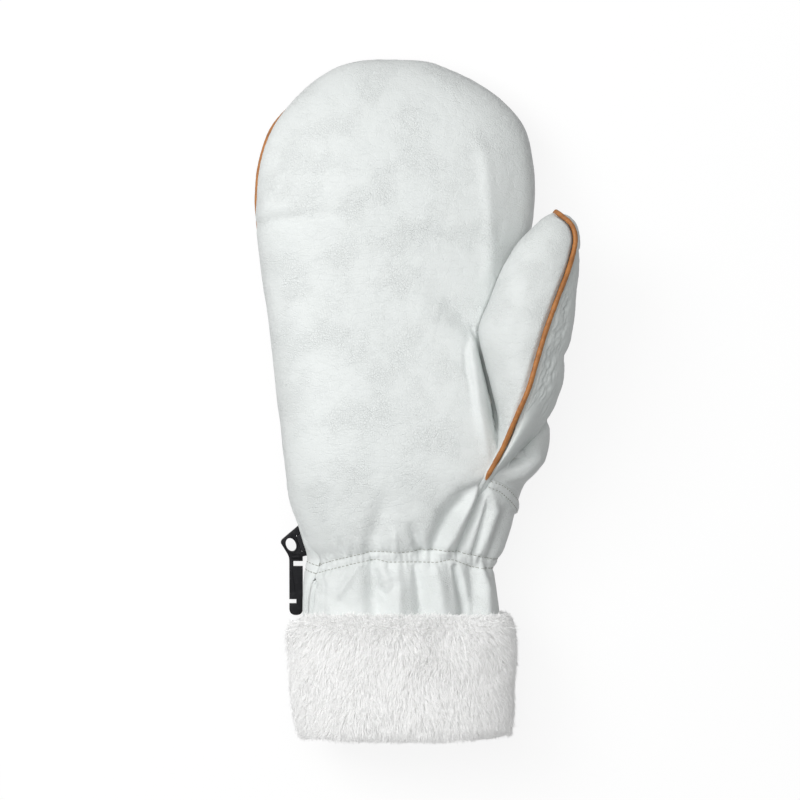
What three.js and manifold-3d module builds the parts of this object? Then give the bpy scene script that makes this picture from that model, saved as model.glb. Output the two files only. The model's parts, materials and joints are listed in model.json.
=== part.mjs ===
// A fleece-lined leather mitten lying on its back, palm up: millimetres, fingers along +Y, thumb on +X,
// palm towards +Z. The leather panels, the piping, the lining, the fur cuff and the hanging clip with its
// elastic loop are separate closed solids. The hollow for the hand is open at the cuff.
import * as THREE from 'three';
import { mergeVertices } from 'three/addons/utils/BufferGeometryUtils.js';
import Module from 'manifold-3d';

const wasm = await Module();
wasm.setup();

// Driving dimensions.
const LEATHER_WALL = 2;
const LINING_WALL = 3.2;
const LINING_GAP = 3.2;
const PIECE_GAP = 0.4;
const PIPING = { radius: 1.2, sides: 6, handSteps: 52, thumbSteps: 40 };
const SKIRT_END = -111.5;
const SHIRRING = { along: -73, arch: 5, middle: -7, reach: 44, depth: 1.2, halfWidth: 4 };
const BACK_GATHER = { pitch: 28, depth: 1.6, reach: 14 };
const DEEPEST_FOLD = 2.4;
const SEAM_STRIP = { width: 2.8, thickness: 1.1 };
const LOCK = { depth: 1.8, rows: 8 };
const CLIP = {
  foot: [-55.3, -98.6],
  thickness: 3,
  rise: 0.12,
  halfWidth: 3.1,
  head: [
    [3.1, 27.2],
    [6.3, 28],
    [6.9, 29],
    [2.4, 41.4],
    [1.6, 41.9],
    [-6.4, 35.1],
    [-6.9, 34.2],
    [-6.7, 33.2],
    [-3.1, 26.8],
  ],
  eye: { x: -2.3, y: 32.6, rx: 2.3, ry: 3.2 },
  lean: 0.35,
  upperSlot: { inner: -1.2, low: 22.6, high: 25.1 },
  lowerSlot: { inner: 0.1, low: 5.3, high: 7.4 },
};

// The elastic: a flat band round the bar at the right of the clip's head, with its tail under the palm. Its
// section is given by the distance across the leaning head and the height over the clip's underside.
const ELASTIC = {
  middle: [0.6, 33.5],
  from: -3.4,
  to: 4.6,
  slot: { left: 0.3, right: 1.9, allowance: 0.4 },
  outside: [[0.6, -1.3], [4.6, -1.3], [5.8, -0.2], [9.4, 6.4], [8.8, 7.4], [5.4, 4.3], [0.6, 4.3]],
  inside: [[1.5, -0.4], [4.7, -0.4], [4.7, 3.4], [1.5, 3.4]],
};
const SEGMENTS = {
  leather: { palm: 20, back: 8 },
  lining: { palm: 12, back: 8 },
  thumb: { palm: 9, back: 6 },
  cuff: { palm: 20, back: 14 },
};

// Reads a short table: one object for each row, keyed by the column names.
function table(columns, rows) {
  return rows.map((row) => Object.fromEntries(columns.map((name, i) => [name, row[i]])));
}

// Sections of the hand from the mouth of the cuff to the fingertip: where each one stands along the mitten,
// its left and right edges, the heights of its palm and its back over the table, the heights of the side
// seams, how square it is, and how many mesh steps lead to the next row.
const HAND = table(
  ['along', 'left', 'right', 'palm', 'back', 'leftSeam', 'rightSeam', 'square', 'steps'],
  [
    [-150, -50, 38, 50, 9, 34, 24, 2.3, 1],
    [-114.5, -50.5, 38, 50, 9, 34, 24, 2.3, 1],
    [SKIRT_END, -50.5, 38, 50, 9, 35, 24, 2.3, 1],
    [-104, -51, 38.5, 50, 9, 35, 24, 2.3, 2],
    [-91, -51, 37, 49.5, 9, 36, 24, 2.3, 2],
    [-79.5, -48.5, 36, 48, 10, 36, 24, 2.3, 2],
    [-72.5, -46.5, 38.5, 48, 9.5, 35, 24, 2.3, 2],
    [-65, -49, 41, 50, 7, 34, 23, 2.3, 2],
    [-56.5, -54.5, 43.5, 52, 3, 33, 20, 2.4, 2],
    [-45.5, -58.5, 46.5, 54, 0, 31, 14, 2.5, 2],
    [-34.5, -59.5, 53, 55.5, -2, 24, 11, 2.6, 1],
    [-23, -61, 58, 56, -2.5, 18, 10, 2.6, 1],
    [-11, -62, 59.5, 56, -3, 14, 9, 2.6, 1],
    [0, -63.5, 58, 55, -3, 13, 9, 2.7, 1],
    [14, -65, 54.5, 53.5, -3, 13.5, 9, 2.8, 1],
    [27, -66.5, 50, 52, -3, 13, 9, 2.8, 1],
    [40, -68, 46.5, 51, -3, 12.5, 9, 2.8, 1],
    [52, -70, 45.5, 49.5, -3, 13, 9, 2.8, 1],
    [64, -71.5, 48, 48.5, -3, 16, 9, 2.8, 1],
    [77, -73, 51.5, 48, -3, 21, 9, 2.8, 1],
    [91, -73.5, 53.5, 47.5, -3, 24.5, 9, 2.8, 1],
    [107.5, -72, 53.5, 45.5, -2.5, 24, 9, 2.7, 1],
    [124, -66.5, 49.5, 42, -1.5, 21, 8.5, 2.6, 1],
    [136.5, -57, 39.5, 37.5, 0.5, 16, 9, 2.5, 1],
    [145.5, -47, 26.5, 32.5, 4, 13, 10, 2.4, 1],
    [152, -36.5, 12.5, 27, 9, 12, 11, 2.3, 1],
    [154.8, -27, 3, 22.8, 13.6, 11.5, 11, 2.2, 1],
    [155.6, -15, -15, 18, 18, 11, 11, 2.2, 0],
  ],
);
const HAND_TAPER_FROM = 60;

// Sections of the thumb from its root inside the hand to its tip, with the place of the piped seam across.
const THUMB = table(
  ['along', 'left', 'right', 'palm', 'back', 'piping', 'square', 'steps'],
  [
    [-44, 33, 43, 42, 22, 35, 2, 1],
    [-34.5, 31, 50, 54.5, 20, 35, 2, 1],
    [-22.5, 37, 55.5, 61, 20, 38.8, 2, 2],
    [-9, 36.5, 60.5, 63.5, 22, 44.5, 2, 2],
    [4.5, 34, 65.5, 65.5, 25, 50, 2, 2],
    [18, 30.5, 67.5, 66, 28, 54, 2, 2],
    [32, 28, 70.5, 66, 31, 59, 2.1, 2],
    [45.5, 33, 72, 65.5, 34, 64.2, 2.1, 1],
    [57, 37.5, 73, 64, 34, 68.5, 2.1, 1],
    [67.5, 43.5, 74, 62, 34.5, 71.6, 2.1, 1],
    [74.5, 48.5, 74, 60, 35.5, 72.4, 2.1, 1],
    [80, 53.5, 72.5, 57, 38, 71, 2, 1],
    [84, 57.8, 69, 53, 42, 66.8, 2, 1],
    [86.3, 63, 63, 47.5, 47.5, 63, 2, 0],
  ],
);
const THUMB_TAPER_FROM = 50;
const THUMB_PIPING_FROM = -35;
const THUMB_FRONT_FROM = -26;

// The fur cuff's outer form, from the mouth to its top edge.
const CUFF = table(
  ['along', 'left', 'right', 'palm', 'back', 'square', 'steps'],
  [
    [-155, -46, 33, 50, 8, 2.5, 1],
    [-153.5, -52, 40, 54, 3.5, 2.6, 1],
    [-149.5, -54.8, 43, 56.5, 0.5, 2.7, 1],
    [-141, -56, 44, 58, -1, 2.8, 2],
    [-127, -57.2, 44.8, 58.5, -1.4, 2.8, 2],
    [-110, -58.3, 45.6, 58.5, -1.4, 2.8, 1],
    [-103, -58, 45.2, 57.2, -1, 2.7, 1],
    [-99.8, -55, 43, 55, 2, 2.6, 1],
    [-98, -52, 40.5, 52.5, 6.5, 2.5, 0],
  ],
);

// Folds and gathers of the palm, each from one point to another: half width and depth, where a positive
// depth is a valley and a negative one a ridge.
const PALM_FOLDS = table(
  ['x1', 'y1', 'x2', 'y2', 'halfWidth', 'depth'],
  [
    [6, -68, 14, -44, 4, 2.4],
    [15, -68, 26, -42, 3, -1.4],
    [22, -69, 30, -44, 3, 2],
    [0, -69, 1, -57, 3, 1.6],
    [-23, -68, -14, -42, 5, 1.6],
    [-36, -68, -38, -58, 3.4, 1.2],
    [-22, -79, -22, -96, 4, 2.2],
    [-13, -79, -13, -92, 4, -1.2],
    [-0.5, -78, -0.5, -96, 3.6, 2.2],
    [9, -79, 9, -96, 4, -1.2],
    [21, -79, 20, -96, 4.6, 2.2],
    [26, 29, 34, -20, 3.4, 2.4],
  ],
);

// The stitched strip under the thumb.
const SEAM_STRIP_PATH = table(
  ['x', 'y'],
  [
    [32, -39.6],
    [36, -41.2],
    [40, -43.4],
    [42.6, -46.4],
    [43.6, -49.6],
  ],
);

// A row at any position between the rows of a table, on a smooth curve through them. The far end closes to a
// point: past it the sides change places, so that the outline is round there.
function rowAt(rows, position) {
  const last = rows.length - 1;
  const at = Math.min(Math.max(Math.floor(position), 0), last - 1);
  const mirrored = (row) => ({ ...row, left: row.right, right: row.left, palm: row.back, back: row.palm });
  const after = at + 2 <= last ? rows[at + 2] : mirrored(rows[last - 1]);
  const made = {};
  for (const name of Object.keys(rows[at])) {
    const [from, to] = [rows[at][name], rows[at + 1][name]];
    const before = at > 0 ? rows[at - 1][name] : 2 * from - to;
    const curve = new THREE.SplineCurve([before, from, to, after[name]].map((v) => new THREE.Vector2(v, 0)));
    made[name] = curve.getPoint((1 + position - at) / 3).x;
  }
  return made;
}

// The row at a place along the mitten, found by halving.
function rowAlong(rows, along) {
  let [low, high] = [0, rows.length - 1];
  for (let k = 0; k < 30; k += 1) {
    const middle = (low + high) / 2;
    if (rowAt(rows, middle).along < along) low = middle;
    else high = middle;
  }
  return rowAt(rows, low);
}

// The rows of a form whose surface lies deeper by the given thickness, or further out where it is negative.
// Past the start of the taper the rows also draw back from the tip.
function shrunk(rows, by, taperFrom) {
  const tip = rows[rows.length - 1].along;
  return rows.map((row) => {
    const across = Math.min(by, 0.3 * (row.right - row.left));
    const deep = Math.min(by, 0.3 * (row.palm - row.back));
    const past = Math.max(row.along - taperFrom, 0) / (tip - taperFrom);
    return {
      ...row,
      along: row.along - by * past,
      left: row.left + across,
      right: row.right - across,
      palm: row.palm - deep,
      back: row.back + deep,
    };
  });
}

// One section as a closed superellipse.
class Section {
  constructor(row) {
    this.row = row;
    this.middleX = (row.left + row.right) / 2;
    this.middleZ = (row.palm + row.back) / 2;
    this.halfWidth = Math.max((row.right - row.left) / 2, 1e-3);
    this.halfHeight = Math.max((row.palm - row.back) / 2, 1e-3);
  }

  // The point in a direction: 0 is the right edge, a quarter turn the palm and a half turn the left edge.
  point(angle) {
    const [c, s] = [Math.cos(angle), Math.sin(angle)];
    const n = this.row.square;
    const reach = (Math.abs(c) ** n + Math.abs(s) ** n) ** (-1 / n);
    return new THREE.Vector3(
      this.middleX + this.halfWidth * reach * c,
      this.row.along,
      this.middleZ + this.halfHeight * reach * s,
    );
  }

  // Height over a place across, on the palm side or, with side -1, on the back.
  heightAt(x, side = 1) {
    const u = Math.min(Math.abs(x - this.middleX) / this.halfWidth, 1);
    return this.middleZ + side * this.halfHeight * (1 - u ** this.row.square) ** (1 / this.row.square);
  }

  contains(x, z) {
    const u = Math.abs(x - this.middleX) / this.halfWidth;
    const w = Math.abs(z - this.middleZ) / this.halfHeight;
    return u ** this.row.square + w ** this.row.square < 1;
  }
}

// A stretch of a section as a curve, so that its points can be spaced evenly.
class SectionArc extends THREE.Curve {
  constructor(section, from, to) {
    super();
    Object.assign(this, { section, from, to });
  }

  getPoint(t) {
    return this.section.point(this.from + (this.to - this.from) * t);
  }
}

function sectionRing(row, segments) {
  const section = new Section(row);
  const palm = new SectionArc(section, 0, Math.PI).getSpacedPoints(segments.palm);
  const back = new SectionArc(section, Math.PI, 2 * Math.PI).getSpacedPoints(segments.back);
  return [...palm.slice(0, -1), ...back.slice(0, -1)];
}

// Positions in a table at which the mesh has a ring. A coarse mesh has one at every other row.
function stations(rows, coarse = false) {
  const found = [];
  rows.slice(0, -1).forEach((row, i) => {
    for (let k = 0; k < row.steps; k += 1) found.push(i + k / row.steps);
  });
  const chosen = coarse ? found.filter((position) => position % 2 === 0) : found;
  return [...chosen, rows.length - 1];
}

// How far the leather is pressed in at a point of the smooth form, on its palm side or on its back.
function pressedIn(point, onPalm) {
  const across = Math.min(((point.x - SHIRRING.middle) / SHIRRING.reach) ** 2, 1);
  const fromShirring = point.y - (SHIRRING.along - SHIRRING.arch * (across - 0.5));
  if (!onPalm) {
    const wave = 0.5 + 0.5 * Math.cos((2 * Math.PI * point.x) / BACK_GATHER.pitch);
    return BACK_GATHER.depth * wave * Math.exp(-Math.abs(fromShirring) / BACK_GATHER.reach);
  }
  const flat = new THREE.Vector3(point.x, point.y, 0);
  const near = (away, halfWidth) => Math.exp(-((away / halfWidth) ** 2));
  const depth = PALM_FOLDS.reduce((sum, fold) => {
    const start = new THREE.Vector3(fold.x1, fold.y1, 0);
    const line = new THREE.Line3(start, new THREE.Vector3(fold.x2, fold.y2, 0));
    const away = line.closestPointToPoint(flat, true, new THREE.Vector3()).distanceTo(flat);
    return sum + fold.depth * near(away, fold.halfWidth);
  }, SHIRRING.depth * near(fromShirring, SHIRRING.halfWidth));
  return Math.min(depth, DEEPEST_FOLD);
}

// Rings of mesh points round a form. Folds press its surface in along its normal, and what would reach below
// the floor is flattened on it.
function ringsOf(rows, { segments, folded = false, coarse = false, floor = 0, from = -Infinity }) {
  const smooth = stations(rows, coarse)
    .map((position) => rowAt(rows, position))
    .filter((row) => row.along >= from)
    .map((row) => sectionRing(row, segments).map((p) => p.setZ(Math.max(p.z, floor))));
  if (!folded) return smooth;
  const count = smooth[0].length;
  return smooth.map((ring, i) =>
    ring.map((p, j) => {
      if (i === smooth.length - 1) return p;
      const along = smooth[i + 1][j].clone().sub(smooth[Math.max(i - 1, 0)][j]);
      const around = ring[(j + 1) % count].clone().sub(ring[(j + count - 1) % count]);
      const out = along.cross(around).normalize();
      const depth = pressedIn(p, j <= segments.palm) * Math.sqrt(Math.abs(out.z));
      const height = p.z === floor ? floor : Math.max(p.z - depth * out.z, floor);
      return new THREE.Vector3(p.x - depth * out.x, p.y, height);
    }),
  );
}

// Joins rings of points into one closed geometry, flat at each end or drawn together to a point.
function loft(rings) {
  const count = rings[0].length;
  const centre = (ring) => ring.reduce((sum, p) => sum.add(p), new THREE.Vector3()).divideScalar(count);
  const tip = centre(rings[rings.length - 1]);
  const pointed = rings[rings.length - 1].every((p) => p.distanceTo(tip) < 0.01);
  const bands = pointed ? rings.slice(0, -1) : rings;
  const vertices = [...bands.flat(), centre(rings[0]), tip];
  const [first, last] = [vertices.length - 2, vertices.length - 1];
  const top = (bands.length - 1) * count;
  const triangles = [];
  for (let j = 0; j < count; j += 1) {
    const next = (j + 1) % count;
    triangles.push(first, j, next, last, top + next, top + j);
    for (let low = 0; low < top; low += count) {
      const high = low + count;
      triangles.push(low + j, high + next, low + next, low + j, high + j, high + next);
    }
  }
  const geometry = new THREE.BufferGeometry();
  const positions = vertices.flatMap((p) => [p.x, p.y, p.z]);
  geometry.setAttribute('position', new THREE.Float32BufferAttribute(positions, 3));
  geometry.setIndex(triangles);
  return geometry;
}

// A closed geometry as a solid that can be cut and joined.
function solid(geometry) {
  const bare = geometry.clone();
  bare.deleteAttribute('normal');
  bare.deleteAttribute('uv');
  bare.clearGroups();
  const merged = mergeVertices(bare, 1e-4);
  const mesh = new wasm.Mesh({
    numProp: 3,
    vertProperties: merged.attributes.position.array,
    triVerts: new Uint32Array(merged.index.array),
  });
  return new wasm.Manifold(mesh);
}

function geometryOf(body) {
  const mesh = body.getMesh();
  const geometry = new THREE.BufferGeometry();
  geometry.setAttribute('position', new THREE.BufferAttribute(new Float32Array(mesh.vertProperties), 3));
  geometry.setIndex(new THREE.BufferAttribute(new Uint32Array(mesh.triVerts), 1));
  return geometry;
}

// A form carried on through its open end.
function throughMouth(rings, reach) {
  return [rings[0].map((p) => p.clone().setY(p.y - reach)), ...rings];
}

// The space above the sheet in which the hand's side seams lie, or below it, clear of the piping.
function handSide(side) {
  const far = 160;
  const rows = stations(HAND).map((position) => rowAt(HAND, position));
  const [mouth, tip] = [rows[0], rows[rows.length - 1]];
  rows.unshift({ ...mouth, along: mouth.along - far });
  rows.push({ ...tip, along: tip.along + far });
  const rings = rows.map((row) => {
    const piped = THREE.MathUtils.smoothstep(row.along, -62, -52);
    const gap = side * (PIECE_GAP / 2 + piped * (PIPING.radius + PIECE_GAP / 2));
    const at = (x, z) => new THREE.Vector3(x, row.along, z);
    const sheet = [
      at(-far, row.leftSeam + gap),
      at(row.left, row.leftSeam + gap),
      at(Math.max(row.right, row.left + 1), row.rightSeam + gap),
      at(far, row.rightSeam + gap),
    ];
    const ring = [...sheet, at(far, side * far), at(-far, side * far)];
    return side > 0 ? ring : ring.reverse();
  });
  return solid(loft(rings));
}

// The two ends of the thumb's seam at a section: the piped one on the palm side and the plain one opposite.
function thumbSeam(row) {
  const section = new Section(row);
  const plain = 2 * section.middleX - row.piping;
  return {
    piped: new THREE.Vector3(row.piping, row.along, section.heightAt(row.piping)),
    plain: new THREE.Vector3(plain, row.along, section.heightAt(plain, -1)),
  };
}

// The space on one side of the sheet through the thumb's two seams, clear of the piping.
function thumbSide(side) {
  const far = 90;
  const past = 8;
  const gap = PIPING.radius + PIECE_GAP;
  const rows = stations(THUMB).map((position) => rowAt(THUMB, position)).slice(0, -1);
  const shown = rows.filter((row) => side < 0 || row.along > THUMB_FRONT_FROM);
  const rings = shown.map((row) => {
    const { piped, plain } = thumbSeam(row);
    const across = piped.clone().sub(plain).normalize();
    const out = new THREE.Vector3(-across.z, 0, across.x).multiplyScalar(side);
    const top = piped.clone().addScaledVector(across, past);
    const foot = plain.clone().addScaledVector(across, -past);
    const near = [top, piped, plain, foot].map((p) => p.clone().addScaledVector(out, gap));
    const ring = [...near, foot.clone().addScaledVector(out, far), top.clone().addScaledVector(out, far)];
    return side > 0 ? ring.reverse() : ring;
  });
  rings.push(rings[rings.length - 1].map((p) => p.clone().setY(p.y + past)));
  return solid(loft(rings));
}

// A cord of round section along a smooth curve through points.
function cord(points, radius, steps) {
  const turns = Array.from({ length: PIPING.sides }, (_, k) => (2 * Math.PI * k) / PIPING.sides);
  const rim = turns.map((turn) => new THREE.Vector2(radius * Math.cos(turn), radius * Math.sin(turn)));
  const extrudePath = new THREE.CatmullRomCurve3(points, false, 'centripetal');
  return solid(new THREE.ExtrudeGeometry(new THREE.Shape(rim), { steps, extrudePath }));
}

// The hand's side seam from the right wrist round the fingertip to the left wrist. Each point is where a ray
// from the middle of the palm, in the seam's sheet, leaves the hand.
function handSeamPoints() {
  const middle = new THREE.Vector2(-10, 50);
  const tip = HAND[HAND.length - 1].along;
  const [fromDegrees, toDegrees, count] = [-60, 243, 48];
  const seamPoint = (x, y) => {
    const row = rowAlong(HAND, y);
    const across = THREE.MathUtils.clamp((x - row.left) / Math.max(row.right - row.left, 1), 0, 1);
    const z = THREE.MathUtils.lerp(row.leftSeam, row.rightSeam, across);
    return { inside: y < tip && new Section(row).contains(x, z), point: new THREE.Vector3(x, y, z) };
  };
  return Array.from({ length: count + 1 }, (_, k) => {
    const turn = THREE.MathUtils.degToRad(fromDegrees + ((toDegrees - fromDegrees) * k) / count);
    const onRay = (reach) => seamPoint(middle.x + reach * Math.cos(turn), middle.y + reach * Math.sin(turn));
    let [low, high] = [10, 170];
    for (let halving = 0; halving < 20; halving += 1) {
      const reach = (low + high) / 2;
      if (onRay(reach).inside) low = reach;
      else high = reach;
    }
    return onRay(low).point;
  });
}

// The thumb's piped seam, up its palm side, over the tip and a little way down its hidden side.
function thumbSeamPoints() {
  const rows = stations(THUMB).map((position) => rowAt(THUMB, position));
  const tip = rows[rows.length - 1];
  const shown = rows.slice(0, -1).filter((row) => row.along > THUMB_PIPING_FROM);
  const piped = shown.map((row) => thumbSeam(row).piped);
  const plain = shown.slice(-4).reverse().map((row) => thumbSeam(row).plain);
  return [...piped, new THREE.Vector3(tip.left, tip.along, tip.palm), ...plain];
}

// The cuff's outer form: pointed locks of fur in staggered rows, fused to the band and flat on the table.
function cuffForm() {
  const rings = stations(CUFF).map((position) => {
    const row = rowAt(CUFF, position);
    const middle = new THREE.Vector3((row.left + row.right) / 2, row.along, (row.palm + row.back) / 2);
    const share = position / (CUFF.length - 1);
    return sectionRing(row, SEGMENTS.cuff).map((p, j) => {
      const between = (j + Math.floor(share * LOCK.rows)) % 2;
      const depth = LOCK.depth * between * Math.sin(Math.PI * share);
      const pressed = p.clone().addScaledVector(p.clone().sub(middle).normalize(), -depth);
      return pressed.setZ(p.z <= 0 ? 0 : Math.max(pressed.z, 0));
    });
  });
  return solid(loft(rings));
}

// The stitched strip, a flat bar laid on the palm along its path, or with an allowance the room for it.
function seamStrip(allowance = 0) {
  const onPalm = ({ x, y }) => new THREE.Vector3(x, y, new Section(rowAlong(HAND, y)).heightAt(x));
  const last = SEAM_STRIP_PATH.length - 1;
  const half = SEAM_STRIP.width / 2 + allowance;
  const foot = PIECE_GAP / 2 - allowance;
  const top = SEAM_STRIP.thickness + allowance;
  const rings = SEAM_STRIP_PATH.map((place, i) => {
    const here = onPalm(place);
    const [next, before] = [SEAM_STRIP_PATH[Math.min(i + 1, last)], SEAM_STRIP_PATH[Math.max(i - 1, 0)]];
    const way = onPalm(next).sub(onPalm(before)).normalize();
    const out = onPalm({ x: place.x + 1, y: place.y }).sub(here).cross(way).normalize();
    out.multiplyScalar(Math.sign(out.z));
    const side = way.clone().cross(out).normalize();
    const corner = (across, up) => here.clone().addScaledVector(side, across).addScaledVector(out, up);
    return [corner(-half, foot), corner(half, foot), corner(half, top), corner(-half, top)];
  });
  return solid(loft(rings));
}

// A geometry in the clip's own frame as a solid: the clip's foot is on the table and its head is raised.
function onClip(geometry) {
  const tilt = new THREE.Matrix4().makeRotationX(Math.atan(CLIP.rise));
  return solid(geometry.applyMatrix4(tilt.setPosition(...CLIP.foot, 0)));
}

// The hanging clip: a flat bar with an eye in its leaning head, a slot in the head for the elastic and a slot
// in each edge of the bar.
function clipSolid() {
  const { halfWidth: w, head, eye, upperSlot, lowerSlot } = CLIP;
  const outline = new THREE.Shape();
  outline.moveTo(-w, lowerSlot.low);
  outline.lineTo(-w, w);
  outline.quadraticCurveTo(-w, 0, 0, 0);
  outline.quadraticCurveTo(w, 0, w, w);
  outline.lineTo(w, upperSlot.low);
  outline.lineTo(upperSlot.inner, upperSlot.low);
  outline.lineTo(upperSlot.inner, upperSlot.high);
  outline.lineTo(w, upperSlot.high);
  for (const corner of head) outline.lineTo(...corner);
  outline.lineTo(-w, lowerSlot.high);
  outline.lineTo(lowerSlot.inner, lowerSlot.high);
  outline.lineTo(lowerSlot.inner, lowerSlot.low);
  outline.closePath();
  const hole = new THREE.Path();
  hole.absellipse(eye.x, eye.y, eye.rx, eye.ry, 0, 2 * Math.PI, true, CLIP.lean);
  const { left, right, allowance } = ELASTIC.slot;
  const [low, high] = [ELASTIC.from - allowance, ELASTIC.to + allowance];
  const corners = [[left, low], [left, high], [right, high], [right, low]];
  const middle = new THREE.Vector2(...ELASTIC.middle);
  const placed = corners.map(([across, along]) => new THREE.Vector2(across, -along).add(middle));
  outline.holes.push(hole, new THREE.Path(placed.map((corner) => corner.rotateAround(middle, CLIP.lean))));
  const depth = CLIP.thickness;
  return onClip(new THREE.ExtrudeGeometry(outline, { depth, curveSegments: 4, bevelEnabled: false }));
}

// The elastic band, extruded along the leaning bar that it holds.
function elasticSolid() {
  const section = new THREE.Shape(ELASTIC.outside.map((corner) => new THREE.Vector2(...corner)));
  section.holes.push(new THREE.Path(ELASTIC.inside.map((corner) => new THREE.Vector2(...corner))));
  const depth = ELASTIC.to - ELASTIC.from;
  const geometry = new THREE.ExtrudeGeometry(section, { depth, bevelEnabled: false });
  const [x, y] = ELASTIC.middle;
  geometry.applyMatrix4(new THREE.Matrix4().makeRotationX(Math.PI / 2).setPosition(0, -ELASTIC.from, 0));
  geometry.applyMatrix4(new THREE.Matrix4().makeRotationZ(CLIP.lean).setPosition(x, y, 0));
  return onClip(geometry);
}

// Every piece of the mitten as a solid.
function pieces() {
  const hand = (by, options) => {
    const rows = shrunk(HAND, by, HAND_TAPER_FROM);
    return ringsOf(rows, { segments: SEGMENTS.leather, floor: Math.max(by, 0), ...options });
  };
  const thumb = (by, coarse = false) =>
    solid(loft(ringsOf(shrunk(THUMB, by, THUMB_TAPER_FROM), { segments: SEGMENTS.thumb, coarse })));
  const open = 12;

  const skirt = { folded: true, from: SKIRT_END };
  const handRoom = solid(loft(throughMouth(hand(LEATHER_WALL, skirt), open)));
  const handShell = solid(loft(hand(0, skirt))).subtract(handRoom).subtract(thumb(-PIECE_GAP));
  const thumbShell = thumb(0).subtract(thumb(LEATHER_WALL)).subtract(handRoom);
  const thumbSeamLine = thumbSeamPoints();
  const thumbPipingRoom = cord(thumbSeamLine, PIPING.radius + PIECE_GAP, PIPING.thumbSteps);

  const lined = { segments: SEGMENTS.lining, coarse: true };
  const depth = LEATHER_WALL + LINING_GAP;
  const liningForm = solid(loft(throughMouth(hand(depth, lined), PIECE_GAP)));
  const roomDepth = depth + LINING_WALL;
  const liningRoom = solid(loft(throughMouth(hand(roomDepth, lined), open))).add(thumb(roomDepth, true));

  const cuffOverSkirt = solid(loft(throughMouth(hand(-PIECE_GAP, skirt), PIECE_GAP)));
  const cuffOverLining = solid(loft(throughMouth(hand(depth - PIECE_GAP, lined), open)));

  return {
    palm_panel: handShell.intersect(handSide(1)).subtract(thumbPipingRoom).subtract(seamStrip(PIECE_GAP)),
    back_panel: handShell.intersect(handSide(-1)),
    thumb_front_panel: thumbShell.intersect(thumbSide(1)),
    thumb_back_panel: thumbShell.intersect(thumbSide(-1)),
    hand_piping: cord(handSeamPoints(), PIPING.radius, PIPING.handSteps),
    thumb_piping: cord(thumbSeamLine, PIPING.radius, PIPING.thumbSteps),
    thumb_seam_band: seamStrip(),
    fleece_lining: liningForm.add(thumb(depth, true)).subtract(liningRoom),
    fur_cuff: cuffForm().subtract(cuffOverSkirt).subtract(cuffOverLining),
    clip: clipSolid(),
    clip_loop: elasticSolid(),
  };
}

const LEATHER = { color: 0xe6ebe9, roughness: 0.55, metalness: 0 };
const THUMB_LEATHER = { color: 0xdfe5e3, roughness: 0.6, metalness: 0 };
const PIPING_LEATHER = { color: 0xa9784c, roughness: 0.5, metalness: 0 };
const FINISHES = {
  palm_panel: LEATHER,
  back_panel: LEATHER,
  thumb_front_panel: THUMB_LEATHER,
  thumb_back_panel: THUMB_LEATHER,
  hand_piping: PIPING_LEATHER,
  thumb_piping: PIPING_LEATHER,
  thumb_seam_band: LEATHER,
  fleece_lining: { color: 0xf0f0ea, roughness: 0.95, metalness: 0 },
  fur_cuff: { color: 0xf3f4f2, roughness: 0.95, metalness: 0 },
  clip: { color: 0x2c2c30, roughness: 0.4, metalness: 0 },
  clip_loop: { color: 0x232326, roughness: 0.85, metalness: 0 },
};

// The origin is on the table, under the middle of the mitten.
const assembly = new THREE.Group();
for (const [name, body] of Object.entries(pieces())) {
  const mesh = new THREE.Mesh(geometryOf(body), new THREE.MeshStandardMaterial(FINISHES[name]));
  mesh.name = name;
  assembly.add(mesh);
}
const box = new THREE.Box3().setFromObject(assembly);
const middle = box.getCenter(new THREE.Vector3());
assembly.position.set(-middle.x, -middle.y, -box.min.z);

const mitten = new THREE.Group();
mitten.add(assembly);

export default mitten;
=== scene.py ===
"""Dresses a fleece-lined leather mitten that lies on its back, palm up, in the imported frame.

Sizes in the tables are millimetres from the tables' own origin: fingers along +Y, thumb on +X and the palm
towards +Z.
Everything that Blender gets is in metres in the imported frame.
"""

import json
import logging
import math
from collections.abc import Callable, Sequence
from dataclasses import dataclass, field, replace
from enum import Enum
from typing import Protocol

import bmesh
import bpy
import numpy as np
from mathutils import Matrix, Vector
from mathutils.bvhtree import BVHTree
from mathutils.kdtree import KDTree

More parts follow.
